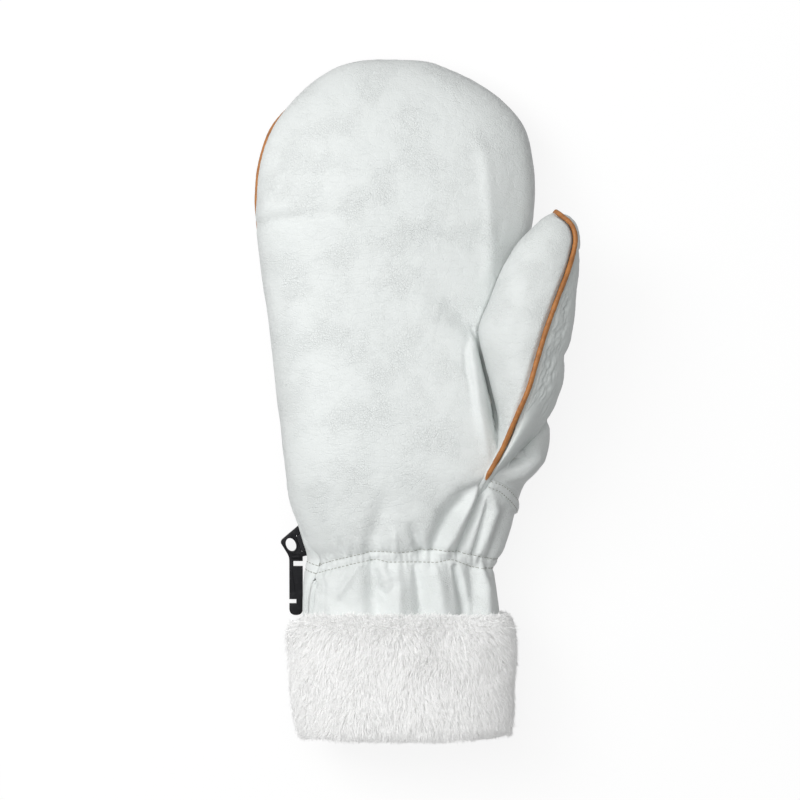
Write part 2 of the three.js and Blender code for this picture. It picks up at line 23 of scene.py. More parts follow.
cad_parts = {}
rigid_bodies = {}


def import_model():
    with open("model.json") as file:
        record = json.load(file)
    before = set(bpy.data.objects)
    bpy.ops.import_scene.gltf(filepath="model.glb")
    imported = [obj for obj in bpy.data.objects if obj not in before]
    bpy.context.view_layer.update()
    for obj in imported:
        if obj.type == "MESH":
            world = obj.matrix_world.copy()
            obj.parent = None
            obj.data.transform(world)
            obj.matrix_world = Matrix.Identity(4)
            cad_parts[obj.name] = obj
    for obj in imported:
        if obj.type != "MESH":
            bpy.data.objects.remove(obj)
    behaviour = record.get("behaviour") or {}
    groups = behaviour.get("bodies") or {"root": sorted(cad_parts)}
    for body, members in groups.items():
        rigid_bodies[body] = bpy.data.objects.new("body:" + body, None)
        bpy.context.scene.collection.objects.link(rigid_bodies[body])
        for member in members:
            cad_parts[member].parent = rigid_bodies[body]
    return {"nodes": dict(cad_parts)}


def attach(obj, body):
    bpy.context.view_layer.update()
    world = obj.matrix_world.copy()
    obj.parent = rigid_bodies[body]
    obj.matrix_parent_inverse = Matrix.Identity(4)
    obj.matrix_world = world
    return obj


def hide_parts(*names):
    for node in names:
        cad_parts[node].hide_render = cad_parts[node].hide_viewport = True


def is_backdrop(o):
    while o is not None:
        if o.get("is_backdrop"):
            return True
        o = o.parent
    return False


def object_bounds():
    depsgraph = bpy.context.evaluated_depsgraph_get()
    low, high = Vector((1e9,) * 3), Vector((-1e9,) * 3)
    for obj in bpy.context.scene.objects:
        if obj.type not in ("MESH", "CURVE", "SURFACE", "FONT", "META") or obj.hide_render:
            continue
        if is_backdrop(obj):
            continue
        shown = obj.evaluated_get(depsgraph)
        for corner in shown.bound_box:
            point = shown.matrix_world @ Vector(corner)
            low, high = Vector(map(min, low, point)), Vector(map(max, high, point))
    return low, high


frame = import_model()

log = logging.getLogger("mitten")

MM = 0.001
FRAME_SHIFT = np.array([0.327, -0.3, 0.0])
BODY = "root"

BOTTOM, TOP = -math.pi / 2, math.pi / 2
FULL_TURN = 2 * math.pi

# How close points are joined, and how short an edge is dropped, in metres.
JOINED_WITHIN = 2e-6
DROPPED_UNDER = 1e-7


class Side(Enum):
    """Which side of a seam a panel lies on."""

    ABOVE = 1
    BELOW = -1


class Slot(Enum):
    """The record's material slots."""

    LEATHER = "leather"
    THUMB_LEATHER = "thumb_leather"
    PIPING = "piping"
    FLEECE = "fleece"
    FUR = "fur"
    PLASTIC = "plastic"
    ELASTIC = "elastic"


# Forms


@dataclass(frozen=True)
class RowTable:
    """Sections of a form from one end to its tip, on a smooth curve between the rows."""

    columns: tuple[str, ...]
    rows: tuple[tuple[float, ...], ...]
    closed: bool = True

    @property
    def last(self) -> int:
        """The position of the last row."""
        return len(self.rows) - 1

    def column(self, name: str) -> np.ndarray:
        """One column of the table."""
        return np.array(self.rows, float)[:, self.columns.index(name)]

    def at(self, positions: np.ndarray) -> dict[str, np.ndarray]:
        """Reads the table between its rows.

        Args:
            positions: places in the table, where a whole number is a row.

        Returns:
            One array for each column, shaped like positions.
        """
        rows = np.array(self.rows, float)
        order = [self.columns.index(MIRRORED.get(name, name)) for name in self.columns]
        after_tip = rows[-2][order] if self.closed else 2 * rows[-1] - rows[-2]
        extended = np.vstack([2 * rows[0] - rows[1], rows, after_tip])
        at = np.clip(np.floor(positions).astype(int), 0, self.last - 1)
        t = (positions - at)[..., None]
        before, start, end, after = (extended[at + k] for k in range(4))
        leaving, arriving = (end - before) / 2, (after - start) / 2
        made = (2 * start - 2 * end + leaving + arriving) * t**3
        made = made + (3 * end - 3 * start - 2 * leaving - arriving) * t**2 + leaving * t + start
        return {name: made[..., i] for i, name in enumerate(self.columns)}

    def position_at(self, along: np.ndarray | float) -> np.ndarray:
        """The position in the table of a place along the mitten."""
        dense = np.linspace(0, self.last, 60 * self.last + 1)
        return np.interp(along, np.maximum.accumulate(self.at(dense)["along"]), dense)

    def shrunk(self, by: float, taper_from: float) -> "RowTable":
        """The form whose surface lies deeper by a thickness.

        Args:
            by: the depth, or the height where it is negative.
            taper_from: the place past which the rows also draw back from the tip.

        Returns:
            The new table.
        """
        made = {name: self.column(name) for name in self.columns}
        across = np.minimum(by, 0.3 * (made["right"] - made["left"]))
        deep = np.minimum(by, 0.3 * (made["palm"] - made["back"]))
        tip = made["along"][-1]
        made["along"] = made["along"] - by * np.maximum(made["along"] - taper_from, 0) / (tip - taper_from)
        made["left"], made["right"] = made["left"] + across, made["right"] - across
        made["palm"], made["back"] = made["palm"] - deep, made["back"] + deep
        return replace(self, rows=tuple(zip(*(made[name] for name in self.columns))))


MIRRORED = {"left": "right", "right": "left", "palm": "back", "back": "palm"}

HAND = RowTable(
    ("along", "left", "right", "palm", "back", "left_seam", "right_seam", "square"),
    (
        (-150, -50, 38, 50, 9, 34, 24, 2.3),
        (-114.5, -50.5, 38, 50, 9, 34, 24, 2.3),
        (-111.5, -50.5, 38, 50, 9, 35, 24, 2.3),
        (-104, -51.6, 38.5, 50, 9, 35, 24, 2.3),
        (-91, -51.9, 37, 49.5, 9, 36, 24, 2.3),
        (-79.5, -50.2, 36, 48, 10, 36, 24, 2.3),
        (-72.5, -47.6, 38.5, 48, 9.5, 35, 24, 2.3),
        (-65, -51.4, 41, 50, 7, 34, 23, 2.3),
        (-56.5, -54.5, 43.5, 52, 3, 33, 20, 2.4),
        (-45.5, -58.5, 46.2, 54, 0, 31, 14, 2.5),
        (-38, -59.2, 49.2, 55.2, -1.6, 26, 11.8, 2.8),
        (-31.5, -59.8, 54.8, 55.7, -2.2, 22, 10.8, 3),
        (-22, -61, 57.9, 56, -2.5, 18, 10, 3),
        (-11, -62, 60, 56, -3, 14, 9, 2.8),
        (0, -63.5, 58, 55, -3, 13, 9, 2.7),
        (14, -65, 54.5, 53.5, -3, 13.5, 9, 2.8),
        (27, -66.5, 50, 52, -3, 13, 9, 2.8),
        (40, -68, 46.5, 51, -3, 12.5, 9, 2.8),
        (52, -70, 45.5, 49.5, -3, 13, 9, 2.8),
        (64, -71.5, 48, 48.5, -3, 16, 9, 2.8),
        (77, -73, 52.6, 48, -3, 21, 9, 2.8),
        (91, -73.5, 54.4, 47.5, -3, 24.5, 9, 2.8),
        (107.5, -72, 53.5, 45.5, -2.5, 24, 9, 2.7),
        (124, -66.5, 49.5, 42, -1.5, 21, 8.5, 2.6),
        (136.5, -57, 39.5, 37.5, 0.5, 16, 9, 2.5),
        (145.5, -47, 26.5, 32.5, 4, 13, 10, 2.4),
        (152, -36.5, 12.5, 27, 9, 12, 11, 2.3),
        (154.8, -27, 3, 22.8, 13.6, 11.5, 11, 2.2),
        (155.6, -15, -15, 18, 18, 11, 11, 2.2),
    ),
)
HAND_TAPER_FROM = 60
SKIRT_END = -111.5
WAIST = -72.5
FINE_BELOW = -34
FINE_SHARE = 2.1

THUMB = RowTable(
    ("along", "left", "right", "palm", "back", "piping", "square"),
    (
        (-44, 24.5, 31, 47, 22, 28, 2),
        (-34.5, 27.8, 37.8, 55.6, 20, 31.9, 2),
        (-22.5, 34.6, 48.8, 60.4, 20, 38.4, 2),
        (-9, 36.5, 59.2, 63.5, 22, 44.2, 2),
        (4.5, 34, 65.5, 65.5, 25, 50, 2),
        (18, 30.5, 67.5, 66, 28, 54, 2),
        (32, 28, 70.5, 66, 31, 58.3, 2.1),
        (45.5, 33, 72, 65.5, 34, 63.2, 2.1),
        (57, 37.5, 73, 64, 34, 67.7, 2.1),
        (67.5, 43.5, 74, 62, 34.5, 70.8, 2.1),
        (74, 48.5, 74, 60, 35.5, 71.4, 2.1),
        (79.2, 53.5, 72.4, 57, 38, 69.6, 2),
        (82.9, 57.8, 69, 53, 42, 65.6, 2),
        (85, 63, 63, 47.5, 47.5, 63, 2),
    ),
)
THUMB_TAPER_FROM = 50

# The skin that the fur's hairs stand on.
FUR_SKIN = RowTable(
    ("along", "left", "right", "palm", "back", "square"),
    (
        (-151.4, -47, 34, 49.4, 8.5, 2.3),
        (-150, -49.4, 37.2, 51.8, 6, 2.35),
        (-146.4, -51.2, 39.4, 53.4, 4.4, 2.35),
        (-139, -52.4, 40.5, 54.2, 3.6, 2.35),
        (-127, -53.6, 40.6, 54.8, 3.4, 2.3),
        (-112, -54.4, 40.8, 54.8, 3.4, 2.3),
        (-104, -54.2, 40.8, 54, 3.6, 2.3),
        (-100.2, -53.2, 40.4, 52.8, 5.2, 2.3),
        (-98, -51.8, 39.4, 51, 7.8, 2.3),
    ),
    closed=False,
)


def smooth_step(low: float, high: float, value: np.ndarray) -> np.ndarray:
    """0 before low, 1 after high and a smooth rise between them."""
    t = np.clip((value - low) / (high - low), 0, 1)
    return t * t * (3 - 2 * t)


def unit(vectors: np.ndarray) -> np.ndarray:
    """The vectors at length one."""
    return vectors / np.maximum(np.linalg.norm(vectors, axis=-1, keepdims=True), 1e-12)


def walked_along(line: np.ndarray) -> np.ndarray:
    """How far along a line each of its points lies."""
    return np.concatenate([[0], np.cumsum(np.linalg.norm(np.diff(line, axis=0), axis=1))])


def evenly(along: np.ndarray) -> np.ndarray:
    """The same share of rings for every place along a form."""
    return np.ones_like(along)


def finer_at_the_wrist(along: np.ndarray) -> np.ndarray:
    """The share of rings along the hand: about twice as many where the leather is gathered."""
    return np.where(along < FINE_BELOW, FINE_SHARE, 1.0)


def in_frame(points: np.ndarray) -> np.ndarray:
    """Points of the tables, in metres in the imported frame."""
    return (points + FRAME_SHIFT) * MM


@dataclass(frozen=True)
class Form:
    """A smooth body with superellipse sections, flattened where it meets the table.

    A point has a position in the table and an angle: 0 is the right edge, a quarter turn the palm.
    """

    table: RowTable
    floor: float = 0.0

    def points(self, positions: np.ndarray, angles: np.ndarray) -> np.ndarray:
        """Points of the surface.

        Args:
            positions: places in the table, one for each point or one for each ring.
            angles: the direction of each point.

        Returns:
            The points, with x, y and z along the last axis.
        """
        row = self.table.at(positions)
        c, s, n = np.cos(angles), np.sin(angles), row["square"]
        reach = (np.abs(c) ** n + np.abs(s) ** n) ** (-1 / n)
        x = (row["left"] + row["right"]) / 2 + (row["right"] - row["left"]) / 2 * reach * c
        z = (row["palm"] + row["back"]) / 2 + (row["palm"] - row["back"]) / 2 * reach * s
        y = np.broadcast_to(row["along"], x.shape)
        return np.stack([x, y, np.maximum(z, self.floor)], axis=-1)

    def normals(self, positions: np.ndarray, angles: np.ndarray) -> np.ndarray:
        """Directions straight out of the surface, found by small steps round and along it."""
        step = 0.01
        near = np.clip(positions, 0.5 * step, self.table.last - 2 * step)
        around = self.points(near, angles + step) - self.points(near, angles - step)
        along = self.points(near + step, angles) - self.points(near - step, angles)
        return unit(np.cross(along, around))

    def spaced(
        self, count: int, low: float, high: float, weight: Callable[[np.ndarray], np.ndarray] = evenly
    ) -> np.ndarray:
        """Positions that divide the form's length into steps.

        Args:
            count: how many steps there are.
            low: the first position.
            high: the last position.
            weight: how many steps a millimetre gets, relative to the rest, by the place along.

        Returns:
            count + 1 positions.
        """
        dense = np.linspace(low, high, 4000)[:, None]
        line = self.points(dense, np.array([[0.0, TOP, math.pi]]))
        moved = np.linalg.norm(np.diff(line, axis=0), axis=-1).max(axis=1)
        share = np.concatenate([[0], np.cumsum(moved * weight(line[:-1, 1, 1]))])
        return np.interp(np.linspace(0, share[-1], count + 1), share, dense[:, 0])

    def spread_angles(
        self,
        positions: np.ndarray,
        start: np.ndarray,
        end: np.ndarray,
        count: int,
        trim: np.ndarray,
        crowd: float = 0.3,
    ) -> np.ndarray:
        """Angles that divide each ring's arc into steps.

        Args:
            positions: the rings' places in the table.
            start: the angle at which each arc starts.
            end: the angle at which each arc ends.
            count: how many steps there are.
            trim: the length left free at both ends of each arc.
            crowd: how much closer the steps are at the ends, from 0 to 1.

        Returns:
            The angles, ring by ring.
        """
        share = np.linspace(0, 1, count + 1)
        share = share - crowd / FULL_TURN * np.sin(FULL_TURN * share)
        fine = start[:, None] + (end - start)[:, None] * np.linspace(0, 1, 240)
        line = self.points(positions[:, None], fine)
        length = np.cumsum(np.linalg.norm(np.diff(line, axis=1), axis=-1), axis=1)
        length = np.concatenate([np.zeros((len(positions), 1)), length], axis=1)
        made = []
        for walked, angles, free in zip(length, fine, trim):
            cut = min(free, 0.4 * walked[-1])
            made.append(np.interp(cut + share * (walked[-1] - 2 * cut), walked, angles))
        return np.array(made)


def seam_angles(form: Form, positions: np.ndarray, gap: float) -> tuple[np.ndarray, np.ndarray]:
    """Where the side seams' sheet leaves the hand.

    Args:
        form: the hand.
        positions: the rings' places in the table.
        gap: how far over the sheet to look.

    Returns:
        The angles on the right and on the left. Where a ring lies wholly over the sheet, both are at its
        foot.
    """
    angles = np.linspace(BOTTOM, BOTTOM + FULL_TURN, 1441)
    ring = form.points(positions[:, None], angles[None, :])
    row = {name: column[:, None] for name, column in form.table.at(positions).items()}
    across = np.clip((ring[..., 0] - row["left"]) / np.maximum(row["right"] - row["left"], 1), 0, 1)
    over = ring[..., 2] - (row["left_seam"] + across * (row["right_seam"] - row["left_seam"])) - gap
    middle, last = len(angles) // 2, len(angles) - 1
    rings = np.arange(len(positions))
    under = over < 0
    low = middle - 1 - np.argmax(under[:, middle - 1 :: -1], axis=1)
    high = middle + np.argmax(under[:, middle:], axis=1)
    step = angles[1] - angles[0]
    with np.errstate(divide="ignore", invalid="ignore"):
        right = angles[low] + step * over[rings, low] / (over[rings, low] - over[rings, low + 1])
        left = angles[high] - step * over[rings, high] / (over[rings, high] - over[rings, high - 1])
    right = np.where(under[:, :middle].any(axis=1), right, angles[0])
    left = np.where(under[:, middle:].any(axis=1), left, angles[last])
    return right, left


# Relief


@dataclass(frozen=True)
class Waves:
    """Soft unevenness: a sum of seeded plane waves."""

    seed: int
    shortest: float
    longest: float
    count: int = 24

    def at(self, points: np.ndarray) -> np.ndarray:
        """The height at points with two or three coordinates, mostly from -1 to 1."""
        rng = np.random.default_rng(self.seed)
        directions = unit(rng.normal(size=(self.count, points.shape[-1])))
        lengths = np.exp(rng.uniform(math.log(self.shortest), math.log(self.longest), self.count))
        phases = rng.uniform(0, FULL_TURN, self.count)
        waves = np.cos(points @ (directions * (FULL_TURN / lengths[:, None])).T + phases)
        return waves @ (lengths / lengths.max()) * math.sqrt(2 / np.sum((lengths / lengths.max()) ** 2)) / 2


@dataclass(frozen=True)
class Fold:
    """A valley, or with negative depths a ridge, along a line.

    Each knot has x, y, the half width and the depth there.
    """

    knots: tuple[tuple[float, float, float, float], ...]

    def at(self, points: np.ndarray) -> np.ndarray:
        """How deep the fold presses at points, whose last axis starts with x and y."""
        flat = points[..., :2]
        nearest = np.full(flat.shape[:-1], np.inf)
        depth = np.zeros(flat.shape[:-1])
        for start, end in zip(np.array(self.knots[:-1]), np.array(self.knots[1:])):
            way = end[:2] - start[:2]
            t = np.clip((flat - start[:2]) @ way / (way @ way), 0, 1)
            away = np.linalg.norm(flat - start[:2] - t[..., None] * way, axis=-1)
            width, deep = (start[i] + t * (end[i] - start[i]) for i in (2, 3))
            closer = away < nearest
            nearest = np.where(closer, away, nearest)
            depth = np.where(closer, deep * np.exp(-((away / width) ** 2)), depth)
        return depth


def folds(*lines: tuple[tuple[float, float, float, float], ...]) -> tuple[Fold, ...]:
    """Folds from their knots."""
    return tuple(Fold(line) for line in lines)


WRIST_FOLDS = folds(
    ((-13.6, -41, 4, 0), (-16, -50, 4.5, 1.4), (-20, -62, 4, 2.2), (-21.6, -69, 3, 2)),
    ((-35.8, -61, 1.1, 0), (-34.6, -65.5, 1.2, 1), (-33.2, -70, 1, 0.9)),
    ((-30, -60, 1.2, 0), (-28.6, -69, 1.3, 0.7)),
    ((-41, -58, 2, 0), (-40, -70, 2, 0.9)),
    ((-3.4, -55, 2.2, 0), (-1, -61, 2.4, 2.4), (1.6, -69, 2.4, 3.4)),
    ((-10.5, -56, 2.5, 0), (-10, -62, 2.6, -1.2), (-9, -69, 2.4, -1.4)),
    ((6.4, -69, 2.6, 2.6), (13.6, -53, 4.4, 4.8), (22, -43.5, 3.6, 4.2), (29.5, -38.5, 2, 1.4)),
    ((13, -69, 2.4, -1.8), (20.4, -54, 2.6, -2.2), (28, -41.5, 2, -1.4)),
    ((19.4, -69, 1.6, 2.6), (25.2, -54.6, 1.9, 4.2), (30.6, -41, 1.8, 5.4), (32.2, -35.5, 1.2, 1.6)),
    ((26.4, -69.5, 1.2, 2.2), (32.2, -49, 1.3, 2.2), (33, -41.5, 1.2, 0)),
    ((29.2, -69.5, 1.8, -1.4), (35.7, -50.5, 2.2, -2), (35, -44, 2, -0.4)),
    ((33.9, -70.5, 1.8, 1.4), (39.7, -53, 2.4, 2), (41.2, -47, 2, 0.2)),
)
SKIRT_FOLDS = folds(
    ((-21, -74.5, 2.2, 2.2), (-20, -83, 3.8, 3.7), (-19.4, -92, 4.6, 3.4), (-18, -108, 4.6, 2)),
    ((-41.2, -96, 1.4, 0.3), (-33, -85, 1.8, -1.1), (-26.6, -75, 1.6, -0.8)),
    ((-43, -88, 2.4, 0.3), (-35, -92, 3.6, 1.3), (-28, -97, 3, 0.8)),
    ((-44.5, -78, 1.2, 1.2), (-42.5, -84, 1.5, 1.2), (-43.5, -100, 1.8, 1.3)),
    ((-52.2, -73, 1, 1.2), (-49, -79, 1, 2), (-46, -84, 0.9, 1.4)),
    ((-47, -82, 0.7, 1.6), (-47.9, -92, 0.8, 2.4), (-48.6, -101, 0.8, 2.2)),
    ((-15, -76.5, 2.4, -0.8), (-13.2, -81, 3.4, -2.6), (-12.2, -86, 2.4, -0.6)),
    ((-18.4, -77.6, 1, 0.8), (-17.6, -84, 1.2, 1.3), (-13.5, -88.5, 1.1, 1), (-10.6, -85, 1, 0.4)),
    ((-8.6, -76, 2.2, -1), (-7.8, -86, 3, -2.2), (-8.6, -98, 3.4, -1.8)),
    ((-0.8, -75.5, 1.6, 1.8), (1, -85, 2.8, 3.4), (2, -94, 3.6, 3.6), (1.2, -108, 3.8, 2.4)),
    ((9.4, -76, 3, -1.4), (10.4, -86, 3.8, -2.6), (12, -98, 4.2, -2.4)),
    ((17.6, -76, 1.3, 2.6), (19.4, -84, 1.8, 3.8), (21.4, -92, 2.4, 3.8), (22, -104, 3, 3.2)),
    ((25, -77.5, 3, 1.6), (26, -88, 3, 2.2), (26.4, -101, 3, 2)),
    ((29.8, -77, 1.8, -2), (31.6, -86, 2.4, -2.8), (32.4, -101, 2.8, -2.2)),
)
PALM_SOFT_FOLDS = folds(
    ((-50, 117, 4, 0), (-56, 108, 4.5, -0.9), (-64, 94, 4, -1.5), (-70, 83, 3, -0.8)),
    ((-71, 80, 2.4, 0.9), (-60, 82, 3.2, 1.3), (-45, 84, 3.4, 0.9), (-28, 84, 3, 0)),
    ((-64, 91, 4, 0.6), (-48, 94, 6, 0.8), (-34, 94, 6, 0)),
    ((-57, 134, 6, 0.2), (-59.5, 122, 6, 1.4), (-62, 110, 5, 0.6)),
    ((-8, 77, 3, 0), (2, 75, 3.2, 0.8), (18, 72.5, 3.2, 1), (32, 69, 3, 0.3)),
    ((-39, 59, 0.9, 0), (-20, 58.6, 0.9, 0.2), (5, 57, 0.9, 0.35), (22, 57.5, 0.9, 0.35), (34, 53, 1, 0.2)),
    ((4, 55, 5, 0), (12, 46, 6.5, 1.4), (20, 38, 6, 2.6), (26, 31, 4, 2.8)),
    ((24, 128, 3, 0), (31, 108, 3.4, -0.8), (33, 85, 3.4, -1), (33, 60, 3, -0.9), (30, 50, 3, 0)),
    ((44, 116, 7, 0.5), (46, 90, 8, 1.9), (45, 66, 7, 1.7), (42, 52, 6, 0.8)),
    ((26, 31, 1.4, -0.5), (24.6, 22, 2, -1.5), (26, 14, 2.3, -1.9), (27.6, 0, 2.4, -2), (32, -24, 2, -1),
     (33, -31, 2, 0)),
    ((23.8, 29, 0.9, 0.6), (22, 21.8, 1, 1.2), (22.4, 14.6, 1, 1.2), (24.4, 5.5, 1, 0.8), (25.8, -8, 1, 0)),
    ((26, 33, 1, 1), (28, 26, 1, 2), (30.4, 16, 1.1, 3), (33, 4, 1.5, 3.5), (34.9, -8, 1.8, 4),
     (36.4, -17, 1.4, 3), (38, -24, 0.8, 0)),
    ((60.5, -8, 0.8, 0.4), (58.3, -12, 0.8, 1.2), (54.6, -17.8, 1.2, 4.5), (51.2, -22.8, 1.5, 7.5),
     (47.8, -26.4, 1.5, 7.5), (43.2, -29.4, 1.3, 4.5), (39.2, -31.4, 1.1, 1)),
    ((60.5, -14, 2.2, -1), (58.6, -19, 3, -1.9), (54.5, -26.5, 3.4, -3), (48, -33.6, 2.6, -1.8),
     (40.5, -36.5, 2, -0.4)),
)
THUMB_FRONT_FOLDS = folds(
    ((46, 42, 3, 0), (46, 33, 3.4, 0.5), (44, 22, 3, 0)),
    ((55, 62, 4, 0), (53, 50, 4, 0.4), (50, 40, 3, 0)),
)
THUMB_NOTCH = Fold(((64, 20.5, 2.6, 1), (70, 19.5, 3.4, 0.9), (76, 19, 3.4, 0.6)))
BACK_BULGE = Fold(((-42, -61, 3, -0.5), (-45, -68, 4, -4), (-47, -75, 4.5, -5), (-49, -82, 4, -1.5)))

# The thumb's edge on the palm, and how deep the palm lies beside it: the place along and what is there.
THUMB_EDGE = (
    (-24, 36.8), (-16, 37), (-9, 36.3), (0, 35), (4.5, 33.9), (18, 30.4), (26, 28.6), (32, 28.2), (45, 33),
    (60, 39.5),
)
UNDER_THUMB_DEPTH = ((-26, 0), (-17, 3.5), (-9, 8), (20, 7), (30, 3.5), (45, 1.4), (62, 0))


def read_pairs(pairs: Sequence[tuple[float, float]], at: np.ndarray) -> np.ndarray:
    """The second values of pairs, read between their first ones."""
    places, values = zip(*pairs)
    return np.interp(at, places, values)


@dataclass(frozen=True)
class StitchRow:
    """A row of stitches across the wrist, by the height of its line over each place across."""

    across: tuple[float, ...]
    along: tuple[float, ...]

    def along_at(self, x: np.ndarray | float) -> np.ndarray:
        """Where the row is at a place across."""
        return np.interp(x, self.across, self.along)


UPPER_ROW = StitchRow(
    (-46, -27.5, -17.5, -7.5, 5, 13, 26, 37),
    (-74.4, -70.6, -69, -69.2, -68.9, -68.1, -70.6, -72.8),
)
LOWER_ROW = StitchRow(
    (-46, -28.5, -18, -13, 0, 9, 16, 26, 37),
    (-77.6, -74, -72.2, -73.4, -73.4, -73.6, -72.2, -76, -77),
)


@dataclass(frozen=True)
class Gathers:
    """The gathered wrist: two stitched grooves, puckers over them and fine pleats above and below."""

    seed: int
    low: float = -46
    high: float = 40
    groove: float = 0.5
    groove_width: float = 0.7
    waist: float = 1.1
    waist_width: float = 5.0
    puckers: int = 34
    pleats: int = 46

    def lines(self) -> tuple[Fold, ...]:
        """The puckers and pleats, at seeded places across."""
        rng = np.random.default_rng(self.seed)
        made = []
        for k in range(self.puckers):
            x = self.low + (self.high - self.low) * (k + rng.uniform(0.2, 0.8)) / self.puckers
            up = UPPER_ROW.along_at(x) + rng.uniform(0.3, 1.4)
            down = LOWER_ROW.along_at(x) - rng.uniform(0.3, 1.4)
            width, depth = rng.uniform(0.5, 0.9), rng.uniform(0.25, 0.65)
            lean = rng.normal(0, 0.5)
            made.append(Fold((
                (x, up, width, 0.4 * depth),
                (x + lean / 2, (up + down) / 2, width, depth),
                (x + lean, down, width, 0.5 * depth),
            )))
        for k in range(self.pleats):
            x = self.low + (self.high - self.low) * (k + rng.uniform(0, 1)) / self.pleats
            upward = k % 2 == 0
            foot = UPPER_ROW.along_at(x) if upward else LOWER_ROW.along_at(x)
            reach = rng.uniform(4, 11) if upward else -rng.uniform(3, 8)
            lean = 0.05 * (x + 7) + rng.normal(0, 0.6)
            width, depth = rng.uniform(0.6, 1.1), rng.uniform(0.25, 0.6)
            made.append(Fold((
                (x, foot, width, depth),
                (x + lean / 2, foot + 0.4 * reach, 1.2 * width, 0.7 * depth),
                (x + lean, foot + reach, 1.6 * width, 0),
            )))
        return tuple(made)

    def at(self, points: np.ndarray) -> np.ndarray:
        """How deep the gathers press at points."""
        x, y = points[..., 0], points[..., 1]
        upper, lower = UPPER_ROW.along_at(x), LOWER_ROW.along_at(x)
        depth = self.waist * np.exp(-(((y - (upper + lower) / 2) / self.waist_width) ** 2))
        for line in (upper, lower):
            depth = depth + self.groove * np.exp(-(((y - line) / self.groove_width) ** 2))
        return depth + sum(fold.at(points) for fold in self.lines())


def pressed_palm(points: np.ndarray) -> np.ndarray:
    """How deep the palm's leather is pressed in at points of the smooth hand."""
    depth = Gathers(seed=3).at(points)
    for fold in WRIST_FOLDS + SKIRT_FOLDS + PALM_SOFT_FOLDS:
        depth = depth + fold.at(points)
    x, y, z = np.moveaxis(points, -1, 0)
    beside_right_seam = smooth_step(30, 40, x) * smooth_step(27, 15, z) * smooth_step(-55, -45, y)
    depth = depth * (1 - beside_right_seam)
    soft = 0.06 * smooth_step(-70, -30, y) + 0.08
    depth = depth + soft * Waves(5, 16, 46).at(points) + 0.07 * Waves(6, 3, 8, 40).at(points)
    return depth + under_thumb(points)


def under_thumb(points: np.ndarray) -> np.ndarray:
    """How deep the thumb's bright panel, which lies over the palm, presses it right of its edge."""
    x, y, z = np.moveaxis(points, -1, 0)
    from_edge = x - read_pairs(THUMB_EDGE, y)
    return read_pairs(UNDER_THUMB_DEPTH, y) * smooth_step(-1.0, 0.8, from_edge) * smooth_step(31, 42, z)


def pressed_back(points: np.ndarray) -> np.ndarray:
    """How deep the back's leather is pressed in at points of the smooth hand."""
    x, y, z = np.moveaxis(points, -1, 0)
    wave = 0.5 + 0.5 * np.cos(FULL_TURN * x / 14 + 1.5 * np.sin(x / 9))
    depth = 1.8 * wave * np.exp(-np.abs(y - WAIST) / 13)
    depth = depth + Gathers(seed=8, puckers=26, pleats=30).at(points)
    depth = depth + smooth_step(34, 25, z) * BACK_BULGE.at(points)
    return depth + 0.25 * Waves(9, 14, 40).at(points) + 0.07 * Waves(10, 3, 8, 40).at(points)


# Meshes


@dataclass
class Shape:
    """Points and faces of one mesh, in millimetres of the tables, with one shade value for each point."""

    points: np.ndarray
    faces: list[np.ndarray]
    shade: np.ndarray | None = None

    @staticmethod
    def joined(shapes: Sequence["Shape"]) -> "Shape":
        """Several shapes as one."""
        starts = np.cumsum([0] + [len(shape.points) for shape in shapes[:-1]])
        shades = [np.zeros(len(s.points)) if s.shade is None else s.shade for s in shapes]
        faces = [face + start for shape, start in zip(shapes, starts) for face in shape.faces]
        return Shape(np.concatenate([s.points for s in shapes]), faces, np.concatenate(shades))


def welded(mesh: bpy.types.Mesh, drop_flat: bool) -> None:
    """Joins points that lie on each other and turns all faces outwards.

    Args:
        mesh: the mesh, which is changed.
        drop_flat: also drops faces without area.
    """
    work = bmesh.new()
    work.from_mesh(mesh)
    bmesh.ops.remove_doubles(work, verts=work.verts, dist=JOINED_WITHIN)
    if drop_flat:
        bmesh.ops.dissolve_degenerate(work, dist=DROPPED_UNDER, edges=work.edges)
    bmesh.ops.recalc_face_normals(work, faces=work.faces)
    work.to_mesh(mesh)
    work.free()


def linked(name: str, data: bpy.types.ID) -> bpy.types.Object:
    """A new object of the scene that shows the data."""
    made = bpy.data.objects.new(name, data)
    bpy.context.scene.collection.objects.link(made)
    return made


def evaluated(source: bpy.types.Object) -> bpy.types.Mesh:
    """The mesh of an object with its curves filled and its modifiers applied."""
    return bpy.data.meshes.new_from_object(source.evaluated_get(bpy.context.evaluated_depsgraph_get()))


def mesh_object(name: str, shape: Shape, weld: bool = True, smooth: bool = True) -> bpy.types.Object:
    """Makes a Blender object from a shape.

    Args:
        name: the piece's name.
        shape: its points and faces.
        weld: joins points that lie on each other and drops faces without area.
        smooth: shades the faces as one smooth surface.

    Returns:
        The object, with its shade values as the attribute "shade".
    """
    mesh = bpy.data.meshes.new(name)
    points = in_frame(shape.points)
    sizes = np.concatenate([np.full(len(face), face.shape[1]) for face in shape.faces])
    corners = np.concatenate([face.ravel() for face in shape.faces])
    mesh.vertices.add(len(points))
    mesh.vertices.foreach_set("co", points.astype(np.float32).ravel())
    mesh.loops.add(len(corners))
    mesh.loops.foreach_set("vertex_index", corners.astype(np.int32))
    mesh.polygons.add(len(sizes))
    mesh.polygons.foreach_set("loop_start", np.concatenate([[0], np.cumsum(sizes)[:-1]]).astype(np.int32))
    mesh.polygons.foreach_set("loop_total", sizes.astype(np.int32))
    mesh.polygons.foreach_set("use_smooth", np.full(len(sizes), smooth))
    shade = mesh.attributes.new("shade", "FLOAT", "POINT")
    values = np.zeros(len(points)) if shape.shade is None else shape.shade
    shade.data.foreach_set("value", values.astype(np.float32))
    mesh.update(calc_edges=True)
    if weld:
        welded(mesh, drop_flat=True)
    return linked(name, mesh)


